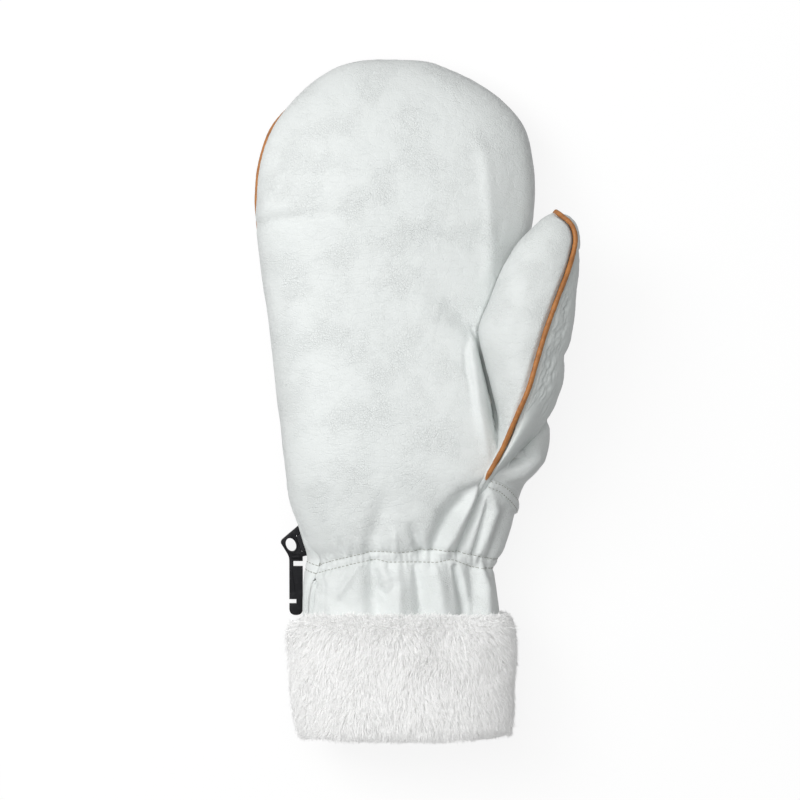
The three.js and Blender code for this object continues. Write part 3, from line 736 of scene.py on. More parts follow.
def grid_faces(rows: int, columns: int, closed: bool = False) -> np.ndarray:
    """Four-cornered faces of a grid of points.

    Args:
        rows: how many rows of points there are.
        columns: how many points a row has.
        closed: joins the last column to the first.

    Returns:
        The faces.
    """
    across = columns if closed else columns - 1
    r, c = np.meshgrid(np.arange(rows - 1), np.arange(across), indexing="ij")
    after = (c + 1) % columns
    corners = [r * columns + c, r * columns + after, (r + 1) * columns + after, (r + 1) * columns + c]
    return np.stack([corner.ravel() for corner in corners], axis=1)


def rim_of(rows: int, columns: int) -> np.ndarray:
    """The points round the edge of a grid, in order and without repeating the first."""
    index = np.arange(rows * columns).reshape(rows, columns)
    return np.concatenate([index[0, :-1], index[:-1, -1], index[-1, :0:-1], index[:0:-1, 0]])


def shell(outer: np.ndarray, inner: np.ndarray, shade: np.ndarray) -> Shape:
    """A closed sheet between a fine outer grid and a coarse inner one that takes every few of its points.

    Args:
        outer: the outer grid of points.
        inner: the inner grid.
        shade: a value for each outer point.

    Returns:
        The closed shape.
    """
    (rows, columns), (few_rows, few_columns) = outer.shape[:2], inner.shape[:2]
    stride = (rows - 1) // (few_rows - 1)
    base = rows * columns
    fine, coarse = rim_of(rows, columns), rim_of(few_rows, few_columns) + base
    triangles = []
    for j in range(len(coarse)):
        here, after = coarse[j], coarse[(j + 1) % len(coarse)]
        part = [fine[(j * stride + m) % len(fine)] for m in range(stride + 1)]
        half = stride // 2
        triangles += [(part[m + 1], part[m], here) for m in range(half)]
        triangles.append((part[half], here, after))
        triangles += [(part[m + 1], part[m], after) for m in range(half, stride)]
    inside = grid_faces(few_rows, few_columns)[:, ::-1] + base
    points = np.concatenate([outer.reshape(-1, 3), inner.reshape(-1, 3)])
    shades = np.concatenate([shade.ravel(), np.ones(few_rows * few_columns)])
    return Shape(points, [grid_faces(rows, columns), inside, np.array(triangles)], shades)


def tube(line: np.ndarray, radius: np.ndarray | float, sides: int, flat: float = 1.0) -> Shape:
    """A closed cord along a line.

    Args:
        line: the points of its middle.
        radius: its radius at each point, or one for all.
        sides: how many sides its section has.
        flat: the section's height as a share of its width.

    Returns:
        The shape, with flat ends.
    """
    count = len(line)
    radius = np.broadcast_to(radius, count)
    way = unit(np.gradient(line, axis=0))
    side = np.cross(way[0], [0, 0, 1.0])
    side = unit(side if np.linalg.norm(side) > 0.1 else np.cross(way[0], [1.0, 0, 0]))
    turns = np.arange(sides) * FULL_TURN / sides
    rings = []
    for point, ahead, size in zip(line, way, radius):
        side = unit(side - (side @ ahead) * ahead)
        up = np.cross(side, ahead)
        rings.append(point + size * (np.cos(turns)[:, None] * side + flat * np.sin(turns)[:, None] * up))
    points = np.concatenate([np.concatenate(rings), line[[0, -1]]])
    ends = np.arange(sides)
    after = (ends + 1) % sides
    top = (count - 1) * sides
    caps = [np.stack([np.full(sides, count * sides), after, ends], axis=1),
            np.stack([np.full(sides, count * sides + 1), top + ends, top + after], axis=1)]
    return Shape(points, [grid_faces(count, sides, closed=True), *caps])


def resampled(line: np.ndarray, count: int) -> np.ndarray:
    """The line with count points at even distances."""
    walked = walked_along(line)
    at = np.linspace(0, walked[-1], count)
    return np.stack([np.interp(at, walked, line[:, i]) for i in range(3)], axis=1)


def smooth_line(knots: np.ndarray, count: int) -> np.ndarray:
    """A smooth curve through knots, with count points at even distances."""
    table = RowTable(("x", "y", "z"), tuple(map(tuple, np.vstack([knots, 2 * knots[-1] - knots[-2]]))))
    made = table.at(np.linspace(0, len(knots) - 1, 40 * len(knots)))
    return resampled(np.stack([made["x"], made["y"], made["z"]], axis=1), count)


def length_of(line: np.ndarray) -> float:
    """A line's length."""
    return float(np.linalg.norm(np.diff(line, axis=0), axis=1).sum())


# Finishes


Colour = tuple[float, float, float]
Socket = bpy.types.NodeSocket


class NodePlan:
    """A material's nodes, with short calls that add and join them."""

    def __init__(self, name: str) -> None:
        """Makes the material.

        Args:
            name: the finish's name.
        """
        self.material = bpy.data.materials.new(name)
        self.material.use_nodes = True
        self.tree = self.material.node_tree
        self.shader = self.tree.nodes["Principled BSDF"]

    def add(self, kind: str, **settings: object) -> bpy.types.Node:
        """Adds a node of a kind and sets its properties."""
        node = self.tree.nodes.new(kind)
        for name, value in settings.items():
            setattr(node, name, value)
        return node

    def feed(self, target: Socket, value: object) -> None:
        """Gives a socket a value, or joins it to another socket."""
        if isinstance(value, Socket):
            self.tree.links.new(value, target)
        else:
            target.default_value = value

    def place(self, stretch: tuple[float, float, float] = (1, 1, 1), turn: float = 0.0) -> Socket:
        """The place on the object, in metres, stretched and turned about Z."""
        mapping = self.add("ShaderNodeMapping")
        mapping.inputs["Scale"].default_value = stretch
        mapping.inputs["Rotation"].default_value[2] = turn
        self.feed(mapping.inputs["Vector"], self.add("ShaderNodeTexCoord").outputs["Object"])
        return mapping.outputs["Vector"]

    def noise(self, place: Socket, size: float, detail: float = 2, rough: float = 0.5) -> Socket:
        """Cloudy noise.

        Args:
            place: where it is read.
            size: the size of its clouds in millimetres.
            detail: how many finer layers it has.
            rough: how strong they are.

        Returns:
            A value about 0.5.
        """
        node = self.add("ShaderNodeTexNoise")
        settings = {"Vector": place, "Scale": 1 / (size * MM), "Detail": detail, "Roughness": rough}
        for name, value in settings.items():
            self.feed(node.inputs[name], value)
        return node.outputs["Fac"]

    def cells(self, place: Socket, size: float, feature: str = "DISTANCE_TO_EDGE") -> Socket:
        """Irregular cells of a size in millimetres, as the distance that feature names."""
        node = self.add("ShaderNodeTexVoronoi", feature=feature)
        self.feed(node.inputs["Vector"], place)
        self.feed(node.inputs["Scale"], 1 / (size * MM))
        return node.outputs["Distance"]

    def bent(self, place: Socket, size: float, reach: float) -> Socket:
        """The place, moved about by noise of a size over a reach, both in millimetres."""
        noise = self.add("ShaderNodeTexNoise")
        self.feed(noise.inputs["Vector"], place)
        self.feed(noise.inputs["Scale"], 1 / (size * MM))
        scaled = self.add("ShaderNodeVectorMath", operation="SCALE")
        self.feed(scaled.inputs[0], noise.outputs["Color"])
        self.feed(scaled.inputs["Scale"], reach * MM)
        moved = self.add("ShaderNodeVectorMath", operation="ADD")
        self.feed(moved.inputs[0], place)
        self.feed(moved.inputs[1], scaled.outputs["Vector"])
        return moved.outputs["Vector"]

    def ranged(self, value: Socket, low: float, high: float, start: float, end: float) -> Socket:
        """The value, with low to high spread over start to end."""
        node = self.add("ShaderNodeMapRange", interpolation_type="SMOOTHSTEP")
        settings = {"Value": value, "From Min": low, "From Max": high, "To Min": start, "To Max": end}
        for name, number in settings.items():
            self.feed(node.inputs[name], number)
        return node.outputs["Result"]

    def math(self, operation: str, first: object, second: object) -> Socket:
        """A sum or product of two values."""
        node = self.add("ShaderNodeMath", operation=operation)
        self.feed(node.inputs[0], first)
        self.feed(node.inputs[1], second)
        return node.outputs["Value"]

    def tint(self, share: object, first: object, second: object) -> Socket:
        """A colour between two, by the second one's share."""
        node = self.add("ShaderNodeMix", data_type="RGBA")
        self.feed(node.inputs["Factor"], share)
        for socket, value in ((node.inputs[6], first), (node.inputs[7], second)):
            self.feed(socket, value if isinstance(value, Socket) else (*value, 1))
        return node.outputs[2]

    def shade(self) -> Socket:
        """The mesh's own shade value."""
        return self.add("ShaderNodeAttribute", attribute_name="shade").outputs["Fac"]

    def bump(self, height: Socket, depth: float, under: Socket | None = None) -> Socket:
        """Relief of a depth in millimetres, over another one where there is one."""
        node = self.add("ShaderNodeBump")
        self.feed(node.inputs["Height"], height)
        node.inputs["Distance"].default_value = depth * MM
        if under is not None:
            self.feed(node.inputs["Normal"], under)
        return node.outputs["Normal"]

    def finish(self, **inputs: object) -> bpy.types.Material:
        """Sets the shader's sockets, named with _ for a space, and returns the material."""
        for name, value in inputs.items():
            socket = self.shader.inputs[name.replace("_", " ")]
            self.feed(socket, (*value, 1) if isinstance(value, tuple) and len(value) == 3 else value)
        return self.material


class Finish(Protocol):
    """What every finish has: the name of its material and a method that builds it."""

    name: str

    def material(self) -> bpy.types.Material:
        """Builds the material's nodes."""


@dataclass(frozen=True)
class LeatherFinish:
    """Smooth full-grain leather: a fine pebble grain, faint clouds of colour and painted shade in its deep
    creases.
    """

    name: str
    colour: Colour
    clouded: Colour
    crease_shade_and_grain_lines: Colour
    grain: float = 1.05
    grain_depth: float = 0.11
    crease_share: float = 0.55
    cloud_share: float = 0.35
    line_share: float = 0.05
    roughness: tuple[float, float] = (0.42, 0.56)

    def material(self) -> bpy.types.Material:
        """Builds the leather's nodes."""
        plan = NodePlan(self.name)
        place = plan.place()
        bent = plan.bent(place, 2.2, 1.1)
        pebbles = plan.ranged(plan.cells(bent, self.grain), 0.0, 0.16, 0, 1)
        fine = plan.noise(place, 0.35, 3, 0.6)
        patches = plan.ranged(plan.noise(place, 17, 2), 0.38, 0.66, 0.35, 1)
        creases = plan.ranged(plan.cells(plan.bent(plan.place((1, 2.2, 1), 0.5), 6, 5), 7), 0, 0.1, 0, 1)
        height = plan.math("ADD", plan.math("MULTIPLY", pebbles, patches), plan.math("MULTIPLY", fine, 0.5))
        relief = plan.bump(creases, self.crease_share * self.grain_depth, plan.bump(height, self.grain_depth))
        share = plan.ranged(plan.noise(place, 30, 3), 0.35, 0.7, 0, self.cloud_share)
        clouds = plan.tint(share, self.colour, self.clouded)
        # Painted shade: where the folds press the leather in by more than 2.5 mm, the colour turns towards
        # the dark grey, wholly at 9.5 mm.
        base = plan.tint(plan.ranged(plan.shade(), 2.5, 9.5, 0, 1), clouds, self.crease_shade_and_grain_lines)
        lines = plan.math("MULTIPLY", plan.ranged(pebbles, 0, 1, self.line_share, 0), patches)
        base = plan.tint(lines, base, self.crease_shade_and_grain_lines)
        rough = plan.ranged(plan.noise(place, 6, 3), 0.3, 0.7, *self.roughness)
        return plan.finish(
            Base_Color=base,
            Roughness=rough,
            Normal=relief,
            Specular_IOR_Level=0.4,
            Sheen_Weight=0.08,
            Sheen_Roughness=0.5,
        )


@dataclass(frozen=True)
class PipingFinish:
    """Tan leather piping: dyed, rubbed paler in small flecks, with a fine grain along it."""

    name: str
    colour: Colour
    dark: Colour
    pale: Colour

    def material(self) -> bpy.types.Material:
        """Builds the piping's nodes."""
        plan = NodePlan(self.name)
        place = plan.place()
        base = plan.tint(plan.ranged(plan.noise(place, 5, 3), 0.35, 0.7, 0, 1), self.colour, self.dark)
        base = plan.tint(plan.ranged(plan.noise(place, 1.2, 3), 0.5, 0.8, 0, 0.6), base, self.pale)
        grain = plan.math("ADD", plan.noise(place, 0.5, 4, 0.7), plan.cells(plan.bent(place, 1, 0.6), 0.6))
        return plan.finish(
            Base_Color=base,
            Roughness=plan.ranged(plan.noise(place, 2, 2), 0.3, 0.7, 0.42, 0.6),
            Normal=plan.bump(grain, 0.1),
            Specular_IOR_Level=0.4,
        )


@dataclass(frozen=True)
class FurFinish:
    """White plush: paler at the hair's tip, a little deeper and warmer at its root."""

    name: str
    tip: Colour
    root: Colour
    clouded: Colour
    painted_bounce_glow: float = 0.07

    def material(self) -> bpy.types.Material:
        """Builds the fur's nodes. A weak glow stands for the light that white hairs pass on."""
        plan = NodePlan(self.name)
        place = plan.place()
        tips = plan.tint(plan.ranged(plan.noise(place, 5, 3), 0.4, 0.7, 0, 1), self.tip, self.clouded)
        base = plan.tint(plan.ranged(plan.shade(), 0, 1, 1, 0), tips, self.root)
        return plan.finish(
            Base_Color=base,
            Roughness=plan.ranged(plan.noise(place, 2, 2), 0.3, 0.7, 0.75, 0.95),
            Normal=plan.bump(plan.noise(place, 0.3, 3), 0.05),
            Specular_IOR_Level=0.2,
            Sheen_Weight=0.1,
            Sheen_Roughness=0.4,
            # Painted light: a white glow over all the fur stands for the light that the hairs pass on to each
            # other.
            Emission_Color=(1.0, 1.0, 1.0),
            Emission_Strength=self.painted_bounce_glow,
        )


@dataclass(frozen=True)
class FleeceFinish:
    """Curly fleece: small soft knots, with painted shade, darker and a little warmer, in the hollows between
    them.
    """

    name: str
    colour: Colour
    hollow_shade: Colour
    curl: float = 1.8

    def material(self) -> bpy.types.Material:
        """Builds the fleece's nodes."""
        plan = NodePlan(self.name)
        place = plan.place()
        curls = plan.ranged(plan.cells(plan.bent(place, 3, 2), self.curl, "F1"), 0, 0.7, 1, 0)
        # Painted shade: the colour turns darker and warmer away from each curl's middle, in the hollows
        # between the curls.
        base = plan.tint(curls, self.hollow_shade, self.colour)
        relief = plan.bump(plan.noise(place, 0.4, 3), 0.15, plan.bump(curls, 0.5))
        return plan.finish(
            Base_Color=base,
            Roughness=plan.ranged(plan.noise(place, 2, 2), 0.3, 0.7, 0.85, 1),
            Normal=relief,
            Specular_IOR_Level=0.15,
            Sheen_Weight=0.4,
            Sheen_Roughness=0.5,
        )


@dataclass(frozen=True)
class PlasticFinish:
    """Moulded black plastic with a fine satin texture and rubbed spots."""

    name: str
    colour: Colour
    rubbed: Colour

    def material(self) -> bpy.types.Material:
        """Builds the plastic's nodes."""
        plan = NodePlan(self.name)
        place = plan.place()
        base = plan.tint(plan.ranged(plan.noise(place, 4, 4), 0.45, 0.75, 0, 0.7), self.colour, self.rubbed)
        return plan.finish(
            Base_Color=base,
            Roughness=plan.ranged(plan.noise(place, 3, 3), 0.3, 0.7, 0.4, 0.55),
            Normal=plan.bump(plan.noise(place, 0.22, 2), 0.02),
            Specular_IOR_Level=0.15,
        )


@dataclass(frozen=True)
class ThreadFinish:
    """Twisted or woven thread, with fine strands across its run."""

    name: str
    colour: Colour
    dark: Colour
    strand: float = 0.25

    def material(self) -> bpy.types.Material:
        """Builds the thread's nodes."""
        plan = NodePlan(self.name)
        place = plan.place((1, 2.4, 1), 0.7)
        strands = plan.cells(plan.bent(place, 1, 0.3), self.strand)
        base = plan.tint(plan.ranged(strands, 0, 0.25, 0, 1), self.dark, self.colour)
        return plan.finish(
            Base_Color=base,
            Roughness=plan.ranged(plan.noise(place, 1, 2), 0.3, 0.7, 0.7, 0.9),
            Normal=plan.bump(strands, 0.06),
            Specular_IOR_Level=0.2,
            Sheen_Weight=0.1,
        )


@dataclass(frozen=True)
class FloorFinish:
    """A pale matt studio floor, lit a little from within so that shadows on it stay faint."""

    name: str
    colour: Colour
    glow: float

    def material(self) -> bpy.types.Material:
        """Builds the floor's nodes."""
        plan = NodePlan(self.name)
        base = plan.tint(plan.noise(plan.place(), 90, 2), self.colour, tuple(0.995 * c for c in self.colour))
        return plan.finish(
            Base_Color=base,
            Roughness=0.95,
            Specular_IOR_Level=0.0,
            Emission_Color=(1.0, 1.0, 1.0),
            Emission_Strength=self.glow,
        )


# Painted shade for deep creases; the pebble grain's own lines also take a little of this grey.
SHADE_AND_GRAIN_GREY: Colour = (0.30, 0.33, 0.32)
PALM_LEATHER = LeatherFinish("palm_leather", (0.79, 0.82, 0.81), (0.76, 0.795, 0.785), SHADE_AND_GRAIN_GREY)
BACK_LEATHER = LeatherFinish("back_leather", (0.78, 0.81, 0.80), (0.74, 0.775, 0.765), SHADE_AND_GRAIN_GREY)
# Painted shade: the thumb's back is the palm's leather, coloured darker for the shade on its side that faces
# away from the light.
THUMB_LEATHER = LeatherFinish(
    "thumb_leather", (0.62, 0.655, 0.65), (0.57, 0.605, 0.60), (0.36, 0.39, 0.38), grain=1.2, grain_depth=0.24
)
# Painted shade: the thumb's front is the same leather, coloured a little darker so that it shows less of the
# key light it faces.
THUMB_FRONT_LEATHER = LeatherFinish(
    "thumb_front_leather", (0.745, 0.775, 0.765), (0.72, 0.75, 0.74), SHADE_AND_GRAIN_GREY
)
TAN_PIPING = PipingFinish("tan_piping", (0.48, 0.19, 0.05), (0.34, 0.13, 0.035), (0.60, 0.29, 0.10))
WHITE_FUR = FurFinish("white_fur", (0.98, 0.98, 0.975), (0.88, 0.88, 0.875), (0.95, 0.95, 0.945))
CREAM_FLEECE = FleeceFinish("cream_fleece", (0.86, 0.85, 0.80), (0.62, 0.60, 0.54))
BLACK_PLASTIC = PlasticFinish("black_plastic", (0.012, 0.012, 0.014), (0.03, 0.03, 0.033))
BLACK_ELASTIC = ThreadFinish("black_elastic", (0.035, 0.035, 0.04), (0.012, 0.012, 0.014), 0.6)
SEWING_THREAD = ThreadFinish("sewing_thread", (0.50, 0.51, 0.47), (0.34, 0.35, 0.32))
PALE_FLOOR = FloorFinish("pale_floor", (0.15, 0.15, 0.15), 0.86)


def dress(
    piece: bpy.types.Object, finish: Finish, stands_for: Sequence[str] = ()
) -> bpy.types.Object:
    """Gives a piece its material and its body, and hides the CAD nodes that it replaces.

    Args:
        piece: the Blender object.
        finish: the finish to take the material from, made once for all pieces that share it.
        stands_for: the CAD nodes that the piece replaces.

    Returns:
        The piece.
    """
    material = bpy.data.materials.get(finish.name) or finish.material()
    piece.data.materials.append(material)
    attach(piece, BODY)
    if stands_for:
        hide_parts(*stands_for)
    triangles = sum(len(p.vertices) - 2 for p in piece.data.polygons)
    log.info("%s: %d triangles", piece.name, triangles)
    return piece


# Leather panels


@dataclass(frozen=True)
class SeamTuck:
    """How a panel's edge turns in to its seam, with small puckers that the stitches pull in."""

    depth: float = 1.5
    width: float = 1.7
    pucker: float = 0.28
    pitch: float = 3.6

    def at(self, from_edge: np.ndarray, walked: np.ndarray, seed: int) -> np.ndarray:
        """How deep the edge presses.

        Args:
            from_edge: each point's distance from the edge.
            walked: how far along the seam each point lies.
            seed: picks the puckers.

        Returns:
            The depth at each point.
        """
        turned = self.depth * np.exp(-((from_edge / self.width) ** 2))
        phase = Waves(seed, 6, 30).at(walked[..., None])
        wave = 0.5 + 0.5 * np.sin(FULL_TURN * walked / self.pitch + 2.5 * phase)
        fade = np.exp(-from_edge / 2.6) * (1 - np.exp(-((from_edge / 0.8) ** 2)))
        return turned + self.pucker * wave * fade


@dataclass(frozen=True)
class Panel:
    """A sewn leather panel: an arc of each section of a form, pressed in by its folds."""

    form: Form
    positions: np.ndarray
    start: np.ndarray
    end: np.ndarray
    columns: int
    trim: float = 0.5
    thickness: float = 1.3
    stride: int = 4
    tuck: SeamTuck = field(default_factory=SeamTuck)
    first_seed: int = 20

    def outer(
        self, pressed: Callable[[np.ndarray], np.ndarray], edge_share: np.ndarray
    ) -> tuple[np.ndarray, np.ndarray, np.ndarray]:
        """The outer face.

        Args:
            pressed: how deep the folds press at points of the smooth form.
            edge_share: how much of the edge's tuck each ring has.

        Returns:
            The pressed points, the normals of the smooth form and the depths.
        """
        trim = self.trim * edge_share
        angles = self.form.spread_angles(self.positions, self.start, self.end, self.columns - 1, trim)
        places = self.positions[:, None]
        smooth = self.form.points(places, angles)
        out = self.form.normals(np.broadcast_to(places, angles.shape), angles)
        step = np.linalg.norm(np.diff(smooth, axis=1), axis=-1)
        from_start = np.concatenate([np.zeros((len(step), 1)), np.cumsum(step, axis=1)], axis=1)
        from_end = from_start[:, -1:] - from_start
        walked = np.broadcast_to(walked_along(smooth[:, 0])[:, None], from_start.shape)
        depth = pressed(smooth)
        for k, distance in enumerate((from_start, from_end)):
            depth = depth + edge_share[:, None] * self.tuck.at(distance, walked, self.first_seed + k)
        face = smooth - depth[..., None] * out
        face[..., 2] = np.maximum(face[..., 2], self.form.floor)
        return face, out, depth

    def shape(self, pressed: Callable[[np.ndarray], np.ndarray], edge_share: np.ndarray) -> Shape:
        """The panel as a closed sheet. The arguments are those of outer()."""
        face, out, depth = self.outer(pressed, edge_share)
        thin = (face - self.thickness * out)[:: self.stride, :: self.stride]
        # The depths go on as the "shade" values, from which the leather paints shade into its deep folds.
        return shell(face, thin, depth)


@dataclass
class HandPanels:
    """The palm and the back of the hand, sewn together at the sides."""

    rows: int = 280
    palm_columns: int = 237
    back_rows: int = 168
    back_columns: int = 125
    open_gap: float = 0.15
    piped_gap: float = 0.95
    cord_end: float = -46.5
    cord_points: int = 620
    cord_depth: tuple[tuple[float, float], ...] = (
        (-46, 2.2), (-20, 1.8), (60, 1.6), (80, 1.3), (92, 0.75), (124, 0.75), (134, 1.4),
    )
    right_cord_depth: float = 0.7
    look_from: float = 5.0
    look_along: float = 12.0
    form: Form = field(default_factory=lambda: Form(HAND))
    surfaces: list[BVHTree] = field(default_factory=list)

    def gap_at(self, positions: np.ndarray) -> np.ndarray:
        """Half the gap between the panels: narrow at the wrist, wide where the piping lies."""
        piped = smooth_step(-56, -46, self.form.table.at(positions)["along"])
        return self.open_gap + piped * (self.piped_gap - self.open_gap)

    def seam(self, positions: np.ndarray, side: int) -> tuple[np.ndarray, np.ndarray]:
        """The angles of the seam on one side of the gap, on the right and on the left."""
        gaps = side * self.gap_at(positions)
        pairs = [seam_angles(self.form, positions[k : k + 1], gap) for k, gap in enumerate(gaps)]
        right, left = (np.concatenate(part) for part in zip(*pairs))
        return right, left

    def last_seam(self, gap: float) -> float:
        """The last position at which a ring still reaches down to the seams."""
        low, high = self.form.table.last - 3.0, float(self.form.table.last)
        for _ in range(30):
            middle = (low + high) / 2
            right, _ = seam_angles(self.form, np.array([middle]), gap)
            low, high = (middle, high) if right[0] > BOTTOM + 1e-9 else (low, middle)
        return low

    def build(self) -> None:
        """Builds the palm and the back."""
        table = self.form.table
        first = float(table.position_at(SKIRT_END))
        positions = self.form.spaced(self.rows, first, float(table.last), finer_at_the_wrist)
        right, left = self.seam(positions, Side.ABOVE.value)
        sewn = smooth_step(0, 0.6, right - BOTTOM)
        palm = Panel(self.form, positions, right, left, self.palm_columns).shape(pressed_palm, sewn)
        self.add("palm_leather_panel", palm, PALM_LEATHER, "palm_panel")

        last = self.last_seam(-self.piped_gap)
        positions = self.form.spaced(self.back_rows, first, last, finer_at_the_wrist)
        right, left = self.seam(positions, Side.BELOW.value)
        back = Panel(self.form, positions, left, right + FULL_TURN, self.back_columns)
        shape = back.shape(pressed_back, np.ones(len(positions)))
        self.add("back_leather_panel", shape, BACK_LEATHER, "back_panel")

    def add(self, name: str, shape: Shape, finish: LeatherFinish, node: str) -> None:
        """Adds a panel and keeps its surface for what is sewn on it."""
        piece = dress(mesh_object(name, shape), finish, [node])
        corners = [list(p.vertices) for p in piece.data.polygons]
        self.surfaces.append(BVHTree.FromPolygons([v.co for v in piece.data.vertices], corners))

    def under(self, point: np.ndarray, out: np.ndarray) -> np.ndarray:
        """The place on the leather straight under a point of the smooth hand."""
        start, way = Vector(in_frame(point + self.look_from * out)), Vector(-out)
        reach = self.look_along * MM
        found = [hit for hit in (tree.ray_cast(start, way, reach) for tree in self.surfaces) if hit[0]]
        if not found:
            return self.on_surface(point)[0]
        return np.array(min(found, key=lambda hit: hit[3])[0]) / MM - FRAME_SHIFT

    def on_surface(self, point: np.ndarray) -> tuple[np.ndarray, np.ndarray]:
        """The nearest place on the leather and the way out of it, in millimetres of the tables."""
        found = [tree.find_nearest(Vector(in_frame(point))) for tree in self.surfaces]
        place, out, *_ = min(found, key=lambda hit: hit[3])
        return np.array(place) / MM - FRAME_SHIFT, np.array(out)

    def seam_line(self) -> np.ndarray:
        """The piped seam from the right wrist round the fingertips to the left wrist."""
        table = self.form.table
        last = self.last_seam(0.0)
        ends = table.position_at(self.cord_end)
        positions = last - (last - ends) * np.linspace(1, 0, 900) ** 2
        pairs = [seam_angles(self.form, positions[k : k + 1], 0.0) for k in range(len(positions))]
        right, left = (np.concatenate(part) for part in zip(*pairs))
        up, down = self.sunk(positions, right), self.sunk(positions, left)[::-1]
        return resampled(np.concatenate([up, down[1:]]), self.cord_points)

    def sunk(self, positions: np.ndarray, angles: np.ndarray) -> np.ndarray:
        """The seam's points, drawn in so that on the left the cord shows most beside the little finger."""
        line = self.form.points(positions, angles)
        inward = read_pairs(self.cord_depth, line[:, 1])
        inward = np.where(line[:, 0] > 0, np.minimum(inward, self.right_cord_depth), inward)
        return line - inward[:, None] * self.form.normals(positions, angles)


@dataclass
class ThumbPanels:
    """The thumb's bright front and its wrinkled back, with a piped seam between them."""

    rows: int = 180
    columns: int = 97
    trim: float = 0.8
    thickness: float = 1.1
    stride: int = 4
    wrinkle_count: int = 30
    wrinkle_seed: int = 31
    deepest: tuple[tuple[float, float], ...] = ((-36, 0.5), (-26, 0.9), (-14, 1.9), (0, 3.4))
    cord_start: float = -36.0
    cord_points: int = 380
    form: Form = field(default_factory=lambda: Form(THUMB))

    def piped_angles(self, positions: np.ndarray) -> np.ndarray:
        """The angle of the piped seam on each ring."""
        angles = np.linspace(0, math.pi, 721)
        rings = self.form.points(positions[:, None], angles[None, :])
        piping = self.form.table.at(positions)["piping"]
        return np.array([np.interp(-x, -ring, angles) for x, ring in zip(piping, rings[..., 0])])

    def front_depth(self, points: np.ndarray) -> np.ndarray:
        """How deep the front's leather is pressed in."""
        depth = sum(fold.at(points) for fold in THUMB_FRONT_FOLDS)
        return depth + 0.16 * Waves(11, 10, 30).at(points) + 0.05 * Waves(12, 3, 7, 40).at(points)

    def wrinkles(self) -> tuple[Fold, ...]:
        """Slanting wrinkles of the back, from the outer edge down to the piping, at seeded places."""
        rng = np.random.default_rng(self.wrinkle_seed)
        made = []
        for k in range(self.wrinkle_count):
            along = -24 + 90 * (k + rng.uniform(0, 1)) / self.wrinkle_count
            row = self.form.table.at(self.form.table.position_at(np.array([along])))
            inner = row["piping"][0] + 2
            x = inner + rng.uniform() * max(row["right"][0] - 0.5 - inner, 0)
            reach, slope = rng.uniform(2.5, 6), rng.uniform(0.7, 1.3)
            width, depth = rng.uniform(0.6, 1.2), rng.uniform(0.3, 0.8)
            made.append(Fold((
                (x - reach / 2, along - slope * reach / 2, width, 0),
                (x, along, width, depth),
                (x + reach / 2, along + slope * reach / 2, width, 0),
            )))
        return tuple(made)

    def back_depth(self, points: np.ndarray) -> np.ndarray:
        """How deep the back's leather is pressed in: sloped from the piping down, creased and crumpled."""
        x, y, z = np.moveaxis(points, -1, 0)
        row = self.form.table.at(self.form.table.position_at(y))
        beyond = np.clip((x - row["piping"]) / np.maximum(row["right"] - row["piping"], 1), 0, 1)
        middle = (row["palm"] + row["back"]) / 2
        straight = row["palm"] - beyond * (row["palm"] - middle)
        slope = 0.5 * np.maximum(z - straight, 0) * (1 - 0.5 * beyond) * smooth_step(82, 66, y)
        lying = np.exp(-np.maximum(44 - z, 0) / 14)
        table = self.form.table
        beside_cord = list(zip(table.column("along"), table.column("piping")))[2:10]
        edge = Fold(tuple((x + 3, along, 0.7, 0.7) for along, x in beside_cord))
        slanted = np.stack([0.8 * x - 0.6 * y, 0.4 * (0.6 * x + 0.8 * y), 0.7 * z], axis=-1)
        crumpled = 0.6 * np.maximum(1 - 2.4 * np.abs(Waves(15, 2.8, 6.5, 40).at(slanted)), 0) ** 1.5
        crumpled = crumpled + 0.4 * np.maximum(1 - 2.4 * np.abs(Waves(16, 1.9, 3.6, 50).at(slanted)), 0)
        beside = smooth_step(1.5, 4, x - row["piping"]) * (1 - 0.75 * smooth_step(0.7, 1, beyond))
        relief = THUMB_NOTCH.at(points) + lying * (edge.at(points) + beside * crumpled)
        relief = relief + beside * lying * sum(fold.at(points) for fold in self.wrinkles())
        depth = slope + relief + 0.3 * Waves(13, 9, 24).at(points)
        return np.minimum(depth, read_pairs(self.deepest, y))

    def panel(self, positions: np.ndarray, start: np.ndarray, tuck: SeamTuck) -> Panel:
        """The half of the thumb that starts at the given angles."""
        end = start + math.pi
        return Panel(
            self.form, positions, start, end, self.columns, self.trim, self.thickness, self.stride, tuck
        )

    def build(self) -> None:
        """Builds the two panels."""
        table = self.form.table
        positions = self.form.spaced(self.rows, 0.0, float(table.last) - 0.02)
        piped = self.piped_angles(positions)
        whole = smooth_step(0, 0.7, table.last - positions)
        front = self.panel(positions, piped, SeamTuck(depth=1.3, width=1.5, pucker=0.2, pitch=3.2))
        piece = mesh_object("thumb_front_leather_panel", front.shape(self.front_depth, whole))
        dress(piece, THUMB_FRONT_LEATHER, ["thumb_front_panel"])
        back = self.panel(positions, piped + math.pi, SeamTuck(depth=1.5, width=1.5, pucker=0.6, pitch=3.0))
        piece = mesh_object("thumb_back_leather_panel", back.shape(self.back_depth, whole))
        dress(piece, THUMB_LEATHER, ["thumb_back_panel"])

    def seam_line(self) -> np.ndarray:
        """The piped seam, up its palm side, over the tip and a little way down its hidden side."""
        table = self.form.table
        positions = np.linspace(float(table.position_at(self.cord_start)), float(table.last), 500)
        piped = self.piped_angles(positions)
        up = self.form.points(positions, piped)
        down = self.form.points(positions, piped + math.pi)[::-1]
        return resampled(np.concatenate([up, down[1:50]]), self.cord_points)


# Trim


